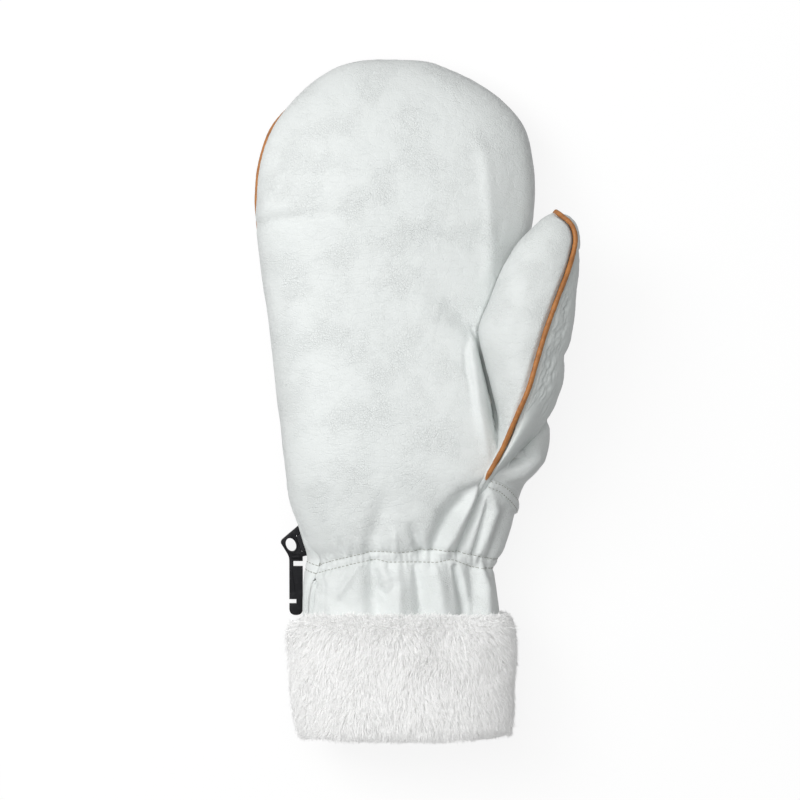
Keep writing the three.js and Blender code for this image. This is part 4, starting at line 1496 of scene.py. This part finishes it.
@dataclass
class Piping:
    """A tan cord of leather in a seam."""

    name: str
    line: np.ndarray
    node: str
    radius: float = 1.15
    sides: int = 14
    taper: float = 0.1

    def build(self) -> None:
        """Builds the cord, a little uneven where the stitches pull it in and narrowing at its ends."""
        walked = np.linspace(0, length_of(self.line), len(self.line))
        uneven = 0.05 * Waves(41, 4, 14).at(walked[:, None]) + 0.02 * np.sin(FULL_TURN * walked / 3.1)
        narrowed = 0.3 + 0.7 * np.minimum(np.minimum(walked, walked[-1] - walked) / self.taper, 1) ** 0.7
        shape = tube(self.line, self.radius * (1 + uneven) * narrowed, self.sides)
        dress(mesh_object(self.name, shape), TAN_PIPING, [self.node])
        log.info("%s: %.0f mm long", self.name, walked[-1])


def stitch(start: np.ndarray, end: np.ndarray, out: np.ndarray, radius: float) -> Shape:
    """One stitch: a thread that comes out of the leather, lies on it and goes in again."""
    t = np.array([0.0, 0.08, 0.3, 0.7, 0.92, 1.0])
    lift = np.array([-1.6, -0.2, 0.75, 0.75, -0.2, -1.6]) * radius
    line = start + t[:, None] * (end - start) + lift[:, None] * out
    return tube(line, radius * np.array([0.7, 0.95, 1, 1, 0.95, 0.7]), 6)


@dataclass
class Stitching:
    """The two rows of stitches round the gathered wrist."""

    hand: HandPanels
    pitch: float = 1.9
    share: float = 0.68
    radius: float = 0.19

    def row(self, row: StitchRow) -> list[Shape]:
        """The stitches of one row, all the way round."""
        form = self.hand.form
        angles = np.linspace(0, FULL_TURN, 721)
        positions = np.full(len(angles), float(form.table.position_at(-73.0)))
        for _ in range(4):
            positions = form.table.position_at(row.along_at(form.points(positions, angles)[:, 0]))
        line, out = form.points(positions, angles), form.normals(positions, angles)
        walked = walked_along(line)
        picks = np.searchsorted(walked, np.arange(0, walked[-1], self.pitch))
        knots, ways = line[picks], out[picks]
        made = []
        for here, after, way in zip(knots[:-1], knots[1:], ways):
            start = self.hand.under(here, way)
            end = self.hand.under(here + self.share * (after - here), way)
            made.append(stitch(start, end, way, self.radius))
        return made

    def build(self) -> None:
        """Builds both rows as one piece."""
        shapes = [shape for row in (UPPER_ROW, LOWER_ROW) for shape in self.row(row)]
        dress(mesh_object("wrist_stitches", Shape.joined(shapes)), SEWING_THREAD)


@dataclass
class SeamBand:
    """The lapped, double-stitched strip under the thumb."""

    hand: HandPanels
    path: tuple[tuple[float, float, float], ...] = (
        (31.8, -38.3, 52), (35, -39, 51.5), (38.6, -40.4, 49.5), (42.2, -43.2, 44), (44.5, -46.6, 36),
        (45.4, -50, 27),
    )
    width: float = 5.0
    height: float = 1.6
    stations: int = 60
    across: int = 15
    blur_reach: int = 5
    lane: float = 0.62
    lane_width: float = 0.16
    lane_depth: float = 0.3
    sunk: float = 0.35
    foot: float = 1.4
    pitch: float = 1.7
    stitch_share: float = 0.7
    stitch_radius: float = 0.22

    def blurred(self, values: np.ndarray) -> np.ndarray:
        """The rows of values, each averaged with its neighbours."""
        kernel = np.hanning(2 * self.blur_reach + 1)
        kernel = kernel / kernel.sum()
        padded = (np.pad(column, self.blur_reach, "edge") for column in values.T)
        return np.stack([np.convolve(column, kernel, "valid") for column in padded], axis=1)

    def middle(self) -> tuple[np.ndarray, np.ndarray, np.ndarray]:
        """The strip's line on the leather, with the ways out of it and across it."""
        rough = smooth_line(np.array(self.path), self.stations)
        line, out = (np.array(part) for part in zip(*(self.hand.on_surface(point) for point in rough)))
        line, out = self.blurred(line), unit(self.blurred(out))
        ahead = unit(np.gradient(line, axis=0))
        return line, out, unit(np.cross(ahead, out))

    def build(self) -> None:
        """Builds the strip and its two rows of stitches."""
        line, out, side = self.middle()
        share = np.linspace(-1, 1, self.across)
        along = np.linspace(0, length_of(line), len(line))[:, None]
        round_top = np.maximum(1 - np.abs(share) ** 4, 0) ** 0.5
        lanes = self.lane_depth * np.exp(-(((np.abs(share) - self.lane) / self.lane_width) ** 2))[None, :]
        ends = np.minimum(1, np.minimum(along, along[-1] - along) / 1.2) ** 0.5
        ribs = 1 + 0.03 * np.sin(FULL_TURN * along / 2.1)
        height = ends * (self.height * round_top[None, :] * ribs - lanes) - self.sunk
        middle = line[:, None, :] + (share * self.width / 2)[None, :, None] * side[:, None, :]
        top = middle + height[..., None] * out[:, None, :]
        foot = middle - self.foot * out[:, None, :]
        piece = mesh_object("thumb_seam_strip", shell(top, foot, np.zeros(top.shape[:2])))
        dress(piece, PALM_LEATHER, ["thumb_seam_band"])
        stitches = []
        count = int(length_of(line) / self.pitch)
        for place in (-self.lane, self.lane):
            lane = line + place * self.width / 2 * side + (self.height * 0.72 - 0.45) * out
            knots, ways = resampled(lane, count + 1), resampled(out, count + 1)
            for here, after, way in zip(knots[:-1], knots[1:], ways):
                end = here + self.stitch_share * (after - here)
                stitches.append(stitch(here, end, way, self.stitch_radius))
        dress(mesh_object("seam_strip_stitches", Shape.joined(stitches)), SEWING_THREAD)


# Clip


@dataclass
class Clip:
    """The hanging clip: a flat bar with two slots and an eye in its leaning head, its foot on the table."""

    foot: tuple[float, float] = (-55.3, -98.6)
    thickness: float = 3.0
    rise: float = 0.12
    half: float = 3.1
    head: tuple[tuple[tuple[float, float], ...], ...] = (
        ((5.2, 27.7), (7.3, 28.2), (6.6, 30)), ((2.9, 40.2), (2.1, 42.5), (0.9, 41.3)),
        ((-6, 35.4), (-7.6, 34.1), (-6.5, 32.7)), ((-3.9, 28.4), (-3.1, 26.9), (-3.1, 25.4)),
    )
    lean: float = 0.35
    eye: tuple[float, float] = (-2.3, 32.6)
    eye_size: tuple[float, float] = (2.3, 3.2)
    upper_slot: tuple[float, float, float] = (-1.2, 22.6, 25.1)
    lower_slot: tuple[float, float, float] = (0.1, 5.3, 7.4)
    slot_middle: tuple[float, float] = (0.6, 33.5)
    slot_across: tuple[float, float] = (0.55, 1.7)
    slot_along: tuple[float, float] = (-4.7, 3.5)
    collar_along: float = 27.2
    bevel: float = 0.45
    rim_width: float = 0.5
    rim_radius: float = 0.34
    rib: tuple[tuple[float, float, float], ...] = (
        (-0.4, 10.5, 0.22), (-0.9, 14, 0.12), (-1.5, 18, 0.12), (-1.9, 21.5, 0.22),
    )
    sharp: float = math.radians(40)

    def leaning(self, middle: tuple[float, float], across: float, along: float) -> tuple[float, float]:
        """A place about a middle, turned as the head leans."""
        c, s = math.cos(self.lean), math.sin(self.lean)
        return middle[0] + c * across - s * along, middle[1] + s * across + c * along

    def placed(self, points: np.ndarray) -> np.ndarray:
        """Points of the flat clip where it lies: its foot on the table, its head raised."""
        tilt = math.atan(self.rise)
        c, s = math.cos(tilt), math.sin(tilt)
        x, y, z = points.T
        turned = np.stack([x, y * c - z * s, y * s + z * c], axis=1) + (*self.foot, 0.0)
        turned[:, 2] = np.maximum(turned[:, 2], 0)
        return turned

    def outline(self) -> list[tuple[float, float]]:
        """The bar's outline with its slots, from the lower slot round to it again."""
        w = self.half
        inner, low, high = self.upper_slot
        foot_inner, foot_low, foot_high = self.lower_slot

        def bend(*knots: tuple[float, float], steps: int = 10) -> list[tuple[float, float]]:
            """Points of a curve from its first knot to its last one, without the first."""
            made = []
            for t in np.linspace(0, 1, steps + 1)[1:]:
                level = [np.array(k, float) for k in knots]
                while len(level) > 1:
                    level = [a + t * (b - a) for a, b in zip(level[:-1], level[1:])]
                made.append((float(level[0][0]), float(level[0][1])))
            return made

        return [
            (-w, foot_low), (-w, w), *bend((-w, w), (-w, 0), (0, 0)), *bend((0, 0), (w, 0), (w, w)),
            (w, low), (inner, low), (inner, high), (w, high), (w, self.collar_along),
            *(point for corner in self.head for point in (corner[0], *bend(*corner))),
            (-w, foot_high), (foot_inner, foot_high), (foot_inner, foot_low),
        ]

    def eye_ring(self, wider: float, count: int) -> list[tuple[float, float]]:
        """An oval round the eye.

        Args:
            wider: how far outside the eye's edge it lies.
            count: how many steps it has.

        Returns:
            Its points, the first one again at the end.
        """
        half_across, half_along = self.eye_size
        return [
            self.leaning(self.eye, (half_across + wider) * math.cos(a), (half_along + wider) * math.sin(a))
            for a in np.linspace(0, FULL_TURN, count + 1)
        ]

    def bar(self) -> Shape:
        """The bar with rounded edges, lying flat."""
        curve = bpy.data.curves.new("clip_outline", "CURVE")
        curve.dimensions, curve.fill_mode = "2D", "BOTH"
        (inner, outer), (low, high) = self.slot_across, self.slot_along
        corners_of_slot = ((inner, low), (inner, high), (outer, high), (outer, low))
        slot = [self.leaning(self.slot_middle, across, along) for across, along in corners_of_slot]
        for points in (self.outline(), self.eye_ring(0.0, 40)[:-1], slot):
            spline = curve.splines.new("POLY")
            spline.points.add(len(points) - 1)
            spline.points.foreach_set("co", [v for x, y in points for v in (x * MM, y * MM, 0, 1)])
            spline.use_cyclic_u = True
        curve.extrude = (self.thickness / 2 - self.bevel) * MM
        curve.bevel_depth = self.bevel * MM
        curve.bevel_resolution = 3
        curve.offset = -self.bevel * MM
        source = linked("clip_outline", curve)
        mesh = evaluated(source)
        bpy.data.objects.remove(source)
        welded(mesh, drop_flat=False)
        points = np.array([v.co for v in mesh.vertices]) / MM + (0, 0, self.thickness / 2)
        return Shape(points, [np.array([list(p.vertices)]) for p in mesh.polygons])

    def build(self) -> None:
        """Builds the bar, the raised rim of its eye, the rib along it and the collar under its head."""
        rim = np.array([(x, y, self.thickness - 0.12) for x, y in self.eye_ring(self.rim_width, 48)])
        rib = np.array([(x, y, self.thickness - sunk) for x, y, sunk in self.rib])
        collar = np.array([(x, self.collar_along, self.thickness - 0.3) for x in (-1.9, 1.7)])
        made = Shape.joined([
            self.bar(),
            tube(rim, self.rim_radius, 8),
            tube(smooth_line(rib, 24), 0.3, 8),
            tube(smooth_line(collar, 8), 1.1, 12),
        ])
        made.points = self.placed(made.points)
        piece = mesh_object("hanging_clip", made, weld=False)
        piece.data.set_sharp_from_angle(angle=self.sharp)
        dress(piece, BLACK_PLASTIC, ["clip"])


@dataclass
class ElasticBand:
    """The woven elastic round the bar of the clip's head, with its tail under the palm."""

    clip: Clip
    low: float = -4.6
    high: float = 3.4
    thickness: float = 0.9
    ribs: int = 9
    stations: int = 72
    rib_steps: int = 6
    section: tuple[tuple[float, float], ...] = (
        (9.2, 7.0), (7.4, 5.6), (5.4, 4.1), (4.4, 3.9), (1.9, 3.9), (1.15, 3.3), (1.05, 2.4), (1.05, 0.4),
        (1.15, -0.3), (1.9, -0.85), (4.2, -0.85), (5.3, -0.2), (6.2, 1.2), (9.3, 5.9),
    )

    def build(self) -> None:
        """Builds the band as a closed ribbon with raised cords along it."""
        line = smooth_line(np.array([(x, 0.0, z) for x, z in self.section]), self.stations)
        way = unit(np.gradient(line, axis=0))
        out = np.stack([-way[:, 2], np.zeros(len(way)), way[:, 0]], axis=1)
        share = np.linspace(0, 1, self.rib_steps * self.ribs + 1)
        swell = 0.5 * self.thickness * (0.8 + 0.2 * np.abs(np.sin(math.pi * self.ribs * share)))
        swell = swell * np.minimum(1, 6 * np.minimum(share, 1 - share) + 0.3)
        across = (self.low + share * (self.high - self.low))[None, :, None] * (0, 1.0, 0)
        faces = []
        for side in (1, -1):
            points = line[:, None, :] + side * swell[None, :, None] * out[:, None, :] + across
            x, y = self.clip.leaning(self.clip.slot_middle, points[..., 0], points[..., 1])
            flat = np.stack([x, y, points[..., 2]], axis=-1)
            faces.append(self.clip.placed(flat.reshape(-1, 3)).reshape(flat.shape))
        piece = mesh_object("elastic_loop", shell(faces[0], faces[1], np.zeros(faces[0].shape[:2])))
        dress(piece, BLACK_ELASTIC, ["clip_loop"])


# Lining and fur


@dataclass
class Lining:
    """The fleece bag inside the hand and the thumb, curly on its inner face."""

    depth: float = 5.2
    wall: float = 3.2
    rows: int = 116
    columns: int = 90
    mouth: float = 12.0
    hand_curls: float = -1.1
    thumb_curls: float = -0.7
    stand_off: float = 1.5

    def bag(self, table: RowTable, taper_from: float, by: float, curls: float, mouth: float) -> Shape:
        """One closed form.

        Args:
            table: the form's rows.
            taper_from: where its rows start to draw back from the tip.
            by: how deep it lies under the leather's outer face.
            curls: the height of the fleece's curls on it.
            mouth: how far it is carried on through its open end.

        Returns:
            The closed shape.
        """
        form = Form(table.shrunk(by, taper_from), by)
        positions = form.spaced(self.rows, 0.0, float(table.last))
        angles = np.linspace(0, FULL_TURN, self.columns, endpoint=False)[None, :]
        places = np.broadcast_to(positions[:, None], (len(positions), self.columns))
        smooth = form.points(places, np.broadcast_to(angles, places.shape))
        out = form.normals(places, np.broadcast_to(angles, places.shape))
        if table is HAND:
            above = smooth_step(24, 34, smooth[..., 2])
            pressed = above * pressed_palm(smooth) + (1 - above) * pressed_back(smooth)
            smooth = smooth - np.maximum(pressed - self.stand_off, 0)[..., None] * out
        face = smooth - curls * np.abs(Waves(51, 3, 7, 60).at(smooth))[..., None] * out
        face[-1] = smooth[-1]
        if mouth > 0:
            face = np.concatenate([face[:1] - (0, mouth, 0), face])
        centre = face[0].mean(axis=0)
        count, last = len(face), len(face) * self.columns
        ends = np.arange(self.columns)
        cap = np.stack([np.full(self.columns, last), (ends + 1) % self.columns, ends], axis=1)
        return Shape(np.concatenate([face.reshape(-1, 3), centre[None]]),
                     [grid_faces(count, self.columns, closed=True), cap])

    def build(self) -> None:
        """Builds the bag: the hand and thumb forms joined, less their rooms."""
        room = self.depth + self.wall
        hand = mesh_object("fleece_lining_bag", self.bag(HAND, HAND_TAPER_FROM, self.depth, 0.0, 0.0))
        tools = [
            ("UNION", self.bag(THUMB, THUMB_TAPER_FROM, self.depth, 0.0, 0.0)),
            ("DIFFERENCE", self.bag(HAND, HAND_TAPER_FROM, room, self.hand_curls, self.mouth)),
            ("DIFFERENCE", self.bag(THUMB, THUMB_TAPER_FROM, room, self.thumb_curls, 0.0)),
        ]
        for k, (operation, shape) in enumerate(tools):
            tool = mesh_object(f"lining_form_{k}", shape)
            modifier = hand.modifiers.new(f"form_{k}", "BOOLEAN")
            modifier.operation, modifier.object, modifier.solver = operation, tool, "EXACT"
        mesh = evaluated(hand)
        hand.modifiers.clear()
        hand.data = mesh
        for k in range(len(tools)):
            bpy.data.objects.remove(bpy.data.objects[f"lining_form_{k}"])
        mesh.polygons.foreach_set("use_smooth", np.ones(len(mesh.polygons), bool))
        dress(hand, CREAM_FLEECE, ["fleece_lining"])


@dataclass
class FurCuff:
    """The plush cuff: a soft undercoat and combed, clumped hairs."""

    hairs: int = 54000
    pieces: int = 3
    length: float = 6.6
    radius: float = 0.16
    clumps: int = 5200
    clump_pull: float = 0.5
    stray_share: float = 0.22
    root_height: float = 1.2
    seed: int = 61
    rings: int = 46
    inner_rings: int = 20
    columns: int = 260
    cells_along: int = 89
    cells_round: int = 360
    undercoat_shade: float = 0.35
    bend_shade: float = 0.62
    lowest_root: float = 0.3
    lowest_point: float = 0.1
    clip_corner: tuple[float, float] = (-51, -99.6)

    def undercoat(self) -> Shape:
        """The closed ring under the hairs: its outer face over the skin, its inner face round the lining."""
        skin, lining = Form(FUR_SKIN), Form(HAND.shrunk(4.8, HAND_TAPER_FROM))
        angles = np.linspace(0, FULL_TURN, self.columns, endpoint=False)[None, :]
        size = (self.rings, self.columns)
        positions = np.broadcast_to(np.linspace(0, FUR_SKIN.last, self.rings)[:, None], size)
        outer = skin.points(positions, np.broadcast_to(angles, size))
        out = skin.normals(positions, np.broadcast_to(angles, size))
        bumps = 0.9 + 0.6 * Waves(62, 3, 9, 60).at(outer)
        fade = np.sin(np.linspace(0.12, math.pi - 0.12, self.rings))[:, None]
        outer = outer + (bumps * fade - 0.5 * (1 - fade))[..., None] * out
        outer[..., 2] = np.maximum(outer[..., 2], self.lowest_root)
        size = (self.inner_rings, self.columns)
        under = HAND.position_at(np.linspace(-101, -151, self.inner_rings))
        inner = lining.points(np.broadcast_to(under[:, None], size), np.broadcast_to(angles, size))
        ring = np.concatenate([outer, inner, outer[:1]])
        faces = grid_faces(len(ring), self.columns, closed=True)
        return Shape(ring.reshape(-1, 3), [faces], np.full(len(ring) * self.columns, self.undercoat_shade))

    def comb(self, places: np.ndarray) -> np.ndarray:
        """The way that the hairs are combed: down at the mouth, up at the top and outwards at the corners."""
        x, y = places[:, 0], places[:, 1]
        across = np.clip((x + 7) / 50, -1.2, 1.2)
        low = smooth_step(-128, -154, y)
        flow = np.zeros_like(places)
        flow[:, 0] = across * np.abs(across) * (0.4 + 1.2 * low)
        flow[:, 1] = np.interp(y, [-155, -140, -122, -108, -102, -98], [-1.4, -1.15, -0.9, -0.6, -0.3, 0.0])
        return flow

    def rooted(self, rng: np.random.Generator) -> tuple[np.ndarray, np.ndarray]:
        """The hairs' roots and the ways out of the skin: more at the top edge, fewer underneath."""
        skin = Form(FUR_SKIN)
        along = np.linspace(0, FUR_SKIN.last, self.cells_along + 1)
        around = np.linspace(0, FULL_TURN, self.cells_round + 1)
        grid = skin.points(*np.meshgrid(along, around, indexing="ij"))
        area = np.linalg.norm(np.cross(np.diff(grid, axis=0)[:, :-1], np.diff(grid, axis=1)[:-1]), axis=-1)
        height = grid[:-1, :-1, 2]
        near_top = smooth_step(-106, -101, grid[:-1, :-1, 1])
        chance = (area * np.where(height < 8, 0.4, 1.0) * (1 + 1.5 * near_top)).ravel()
        picked = rng.choice(chance.size, self.hairs, p=chance / chance.sum())
        row, column = np.unravel_index(picked, area.shape)
        positions = (row + rng.uniform(0, 1, self.hairs)) * FUR_SKIN.last / self.cells_along
        angles = (column + rng.uniform(0, 1, self.hairs)) * FULL_TURN / self.cells_round
        roots, out = skin.points(positions, angles), skin.normals(positions, angles)
        return roots + self.root_height * out, out

    def combed(
        self, rng: np.random.Generator, roots: np.ndarray, out: np.ndarray
    ) -> tuple[np.ndarray, np.ndarray]:
        """The hairs' tips and lengths: combed, a little swirled and mixed, and shorter at both edges."""
        mixed = 0.16 + 0.3 * smooth_step(-106, -100, roots[:, 1:2])
        flow = self.comb(roots) + mixed * rng.normal(size=roots.shape)
        swirl = np.stack([Waves(63 + k, 9, 26).at(roots) for k in range(3)], axis=1)
        flow = flow + 0.3 * swirl
        flow = flow - np.sum(flow * out, axis=1, keepdims=True) * out
        standing = unit(out * (1, 0.25, 1))
        length = self.length * rng.uniform(0.72, 1.08, self.hairs)
        ends = smooth_step(-97, -107, roots[:, 1]) * smooth_step(-153.5, -149, roots[:, 1])
        length = length * (0.42 + 0.58 * ends)
        way = unit(unit(0.5 * standing + flow) + 0.12 * rng.normal(size=roots.shape))
        return roots + length[:, None] * way, length

    def clumped(self, rng: np.random.Generator, roots: np.ndarray, tips: np.ndarray) -> np.ndarray:
        """The tips drawn towards the middle of their clumps, except those of stray hairs."""
        centres = roots[rng.choice(self.hairs, self.clumps, replace=False)]
        tree = KDTree(self.clumps)
        for k, centre in enumerate(centres):
            tree.insert(centre, k)
        tree.balance()
        nearest = np.array([tree.find(root)[1] for root in roots])
        total = np.zeros((self.clumps, 3))
        np.add.at(total, nearest, tips)
        members = np.bincount(nearest, minlength=self.clumps)[:, None]
        middle = total / np.maximum(members, 1)
        stray = rng.uniform(0, 1, (self.hairs, 1)) < self.stray_share
        pull = np.where(stray, 0.0, self.clump_pull) * rng.uniform(0.6, 1.2, (self.hairs, 1))
        tips = tips + pull * (middle[nearest] - tips)
        tips[:, 2] = np.maximum(tips[:, 2], self.lowest_root)
        return tips

    def hair_points(self) -> np.ndarray:
        """Seven points for each hair: three at the root, three at the bend and the tip."""
        rng = np.random.default_rng(self.seed)
        roots, out = self.rooted(rng)
        tips, length = self.combed(rng, roots, out)
        tips = self.clumped(rng, roots, tips)
        bend = roots + 0.5 * (tips - roots) + 0.16 * length[:, None] * out
        bend[:, 2] = np.maximum(bend[:, 2], self.lowest_root)
        side = unit(np.cross(tips - roots, out + 0.3 * rng.normal(size=roots.shape)))
        up = unit(np.cross(side, tips - roots))
        ring = np.stack([side, -side, 0.55 * up], axis=1)
        thick = self.radius * rng.uniform(0.75, 1.25, (self.hairs, 1, 1))
        at_root, at_bend = roots[:, None] + thick * ring, bend[:, None] + 0.8 * thick * ring
        points = np.concatenate([at_root, at_bend, tips[:, None]], axis=1)
        points[..., 2] = np.maximum(points[..., 2], self.lowest_point)
        clip_x, clip_y = self.clip_corner
        over_clip = (points[..., 0].min(axis=1) < clip_x) & (points[..., 1].max(axis=1) > clip_y)
        return points[~over_clip]

    def hair_shapes(self) -> list[Shape]:
        """The hairs as closed, tapered spikes of three sides, in a few shapes."""
        points = self.hair_points()
        shade = np.array([0, 0, 0, self.bend_shade, self.bend_shade, self.bend_shade, 1])
        one = np.array([
            (2, 1, 0), (0, 1, 4), (0, 4, 3), (1, 2, 5), (1, 5, 4), (2, 0, 3), (2, 3, 5), (3, 4, 6), (4, 5, 6),
            (5, 3, 6),
        ])
        shapes = []
        for part in np.array_split(np.argsort(points[:, 0, 0]), self.pieces):
            faces = (one[None] + len(shade) * np.arange(len(part))[:, None, None]).reshape(-1, 3)
            shapes.append(Shape(points[part].reshape(-1, 3), [faces], np.tile(shade, len(part))))
        return shapes

    def build(self) -> None:
        """Builds the undercoat and the hairs."""
        dress(mesh_object("fur_undercoat", self.undercoat()), WHITE_FUR, ["fur_cuff"])
        for k, shape in enumerate(self.hair_shapes()):
            dress(mesh_object(f"fur_hairs_{k + 1}", shape, weld=False, smooth=False), WHITE_FUR)


# Studio


@dataclass
class SoftLight:
    """A large soft studio light that faces a point of the mitten."""

    name: str
    place: tuple[float, float, float]
    size: tuple[float, float]
    watts: float
    tint: Colour = (1.0, 1.0, 1.0)

    def build(self) -> None:
        """Adds the light."""
        data = bpy.data.lights.new(self.name, "AREA")
        data.shape, data.size, data.size_y = "RECTANGLE", *self.size
        data.energy, data.color = self.watts, self.tint
        light = linked(self.name, data)
        light.location = self.place
        light.rotation_euler = (-Vector(self.place)).to_track_quat("-Z", "Y").to_euler()


@dataclass
class Studio:
    """The floor, the lights and the camera."""

    floor_size: float = 30.0
    floor_height: float = -0.0002
    camera_height: float = 2.6
    focus_height: float = 0.03
    view_width: float = 0.364
    view_middle: tuple[float, float] = (-0.0072, -0.0003)
    sensor: float = 36.0
    clip_range: tuple[float, float] = (0.1, 20.0)
    world_light: float = 0.27
    lights: tuple[SoftLight, ...] = (
        SoftLight("key_light", (-0.9, 0.55, 1.2), (0.8, 0.8), 12.8),
        SoftLight("top_light", (-0.3, 0.2, 2.2), (1.5, 1.5), 19.5),
    )

    def add_floor(self) -> None:
        """Adds the floor, a hair's breadth under the mitten."""
        half = self.floor_size / 2
        around = ((-half, -half), (half, -half), (half, half), (-half, half))
        rim = [(x, y, self.floor_height) for x, y in around]
        mesh = bpy.data.meshes.new("studio_floor")
        mesh.from_pydata(rim, [], [(0, 1, 2, 3)])
        mesh.materials.append(PALE_FLOOR.material())
        floor = linked("studio_floor", mesh)
        floor.visible_diffuse = False
        floor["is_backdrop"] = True

    def add_world(self) -> None:
        """Adds the white background, which also lights the mitten from all round."""
        world = bpy.data.worlds.new("studio_world")
        world.use_nodes = True
        background = world.node_tree.nodes["Background"]
        background.inputs["Color"].default_value = (1, 1, 1, 1)
        background.inputs["Strength"].default_value = self.world_light
        bpy.context.scene.world = world
        bpy.context.scene.view_settings.view_transform = "Standard"

    def add_camera(self) -> None:
        """Adds the camera, straight over the mitten."""
        camera = bpy.data.cameras.new("camera")
        camera.sensor_width = self.sensor
        camera.lens = self.sensor * (self.camera_height - self.focus_height) / self.view_width
        camera.clip_start, camera.clip_end = self.clip_range
        made = linked("camera", camera)
        made.location = (*self.view_middle, self.camera_height)
        bpy.context.scene.camera = made

    def build(self) -> None:
        """Builds the floor, the lights, the background and the camera."""
        self.add_floor()
        for light in self.lights:
            light.build()
        self.add_world()
        self.add_camera()


def corners() -> list[list[float]]:
    """The whole object's box, as plain lists."""
    return [[round(float(v), 6) for v in corner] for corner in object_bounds()]


def main() -> None:
    """Builds the studio and every piece of the mitten."""
    logging.basicConfig(level=logging.INFO, format="%(name)s: %(message)s")
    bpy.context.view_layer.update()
    log.info("frame: %d CAD nodes", len(frame["nodes"]))
    Studio().build()
    hand = HandPanels()
    hand.build()
    thumb = ThumbPanels()
    thumb.build()
    Piping("hand_piping_cord", hand.seam_line(), "hand_piping").build()
    Piping("thumb_piping_cord", thumb.seam_line(), "thumb_piping", taper=3.5).build()
    Stitching(hand).build()
    SeamBand(hand).build()
    clip = Clip()
    clip.build()
    ElasticBand(clip).build()
    Lining().build()
    FurCuff().build()
    bpy.context.view_layer.update()


if __name__ == "__main__":
    main()
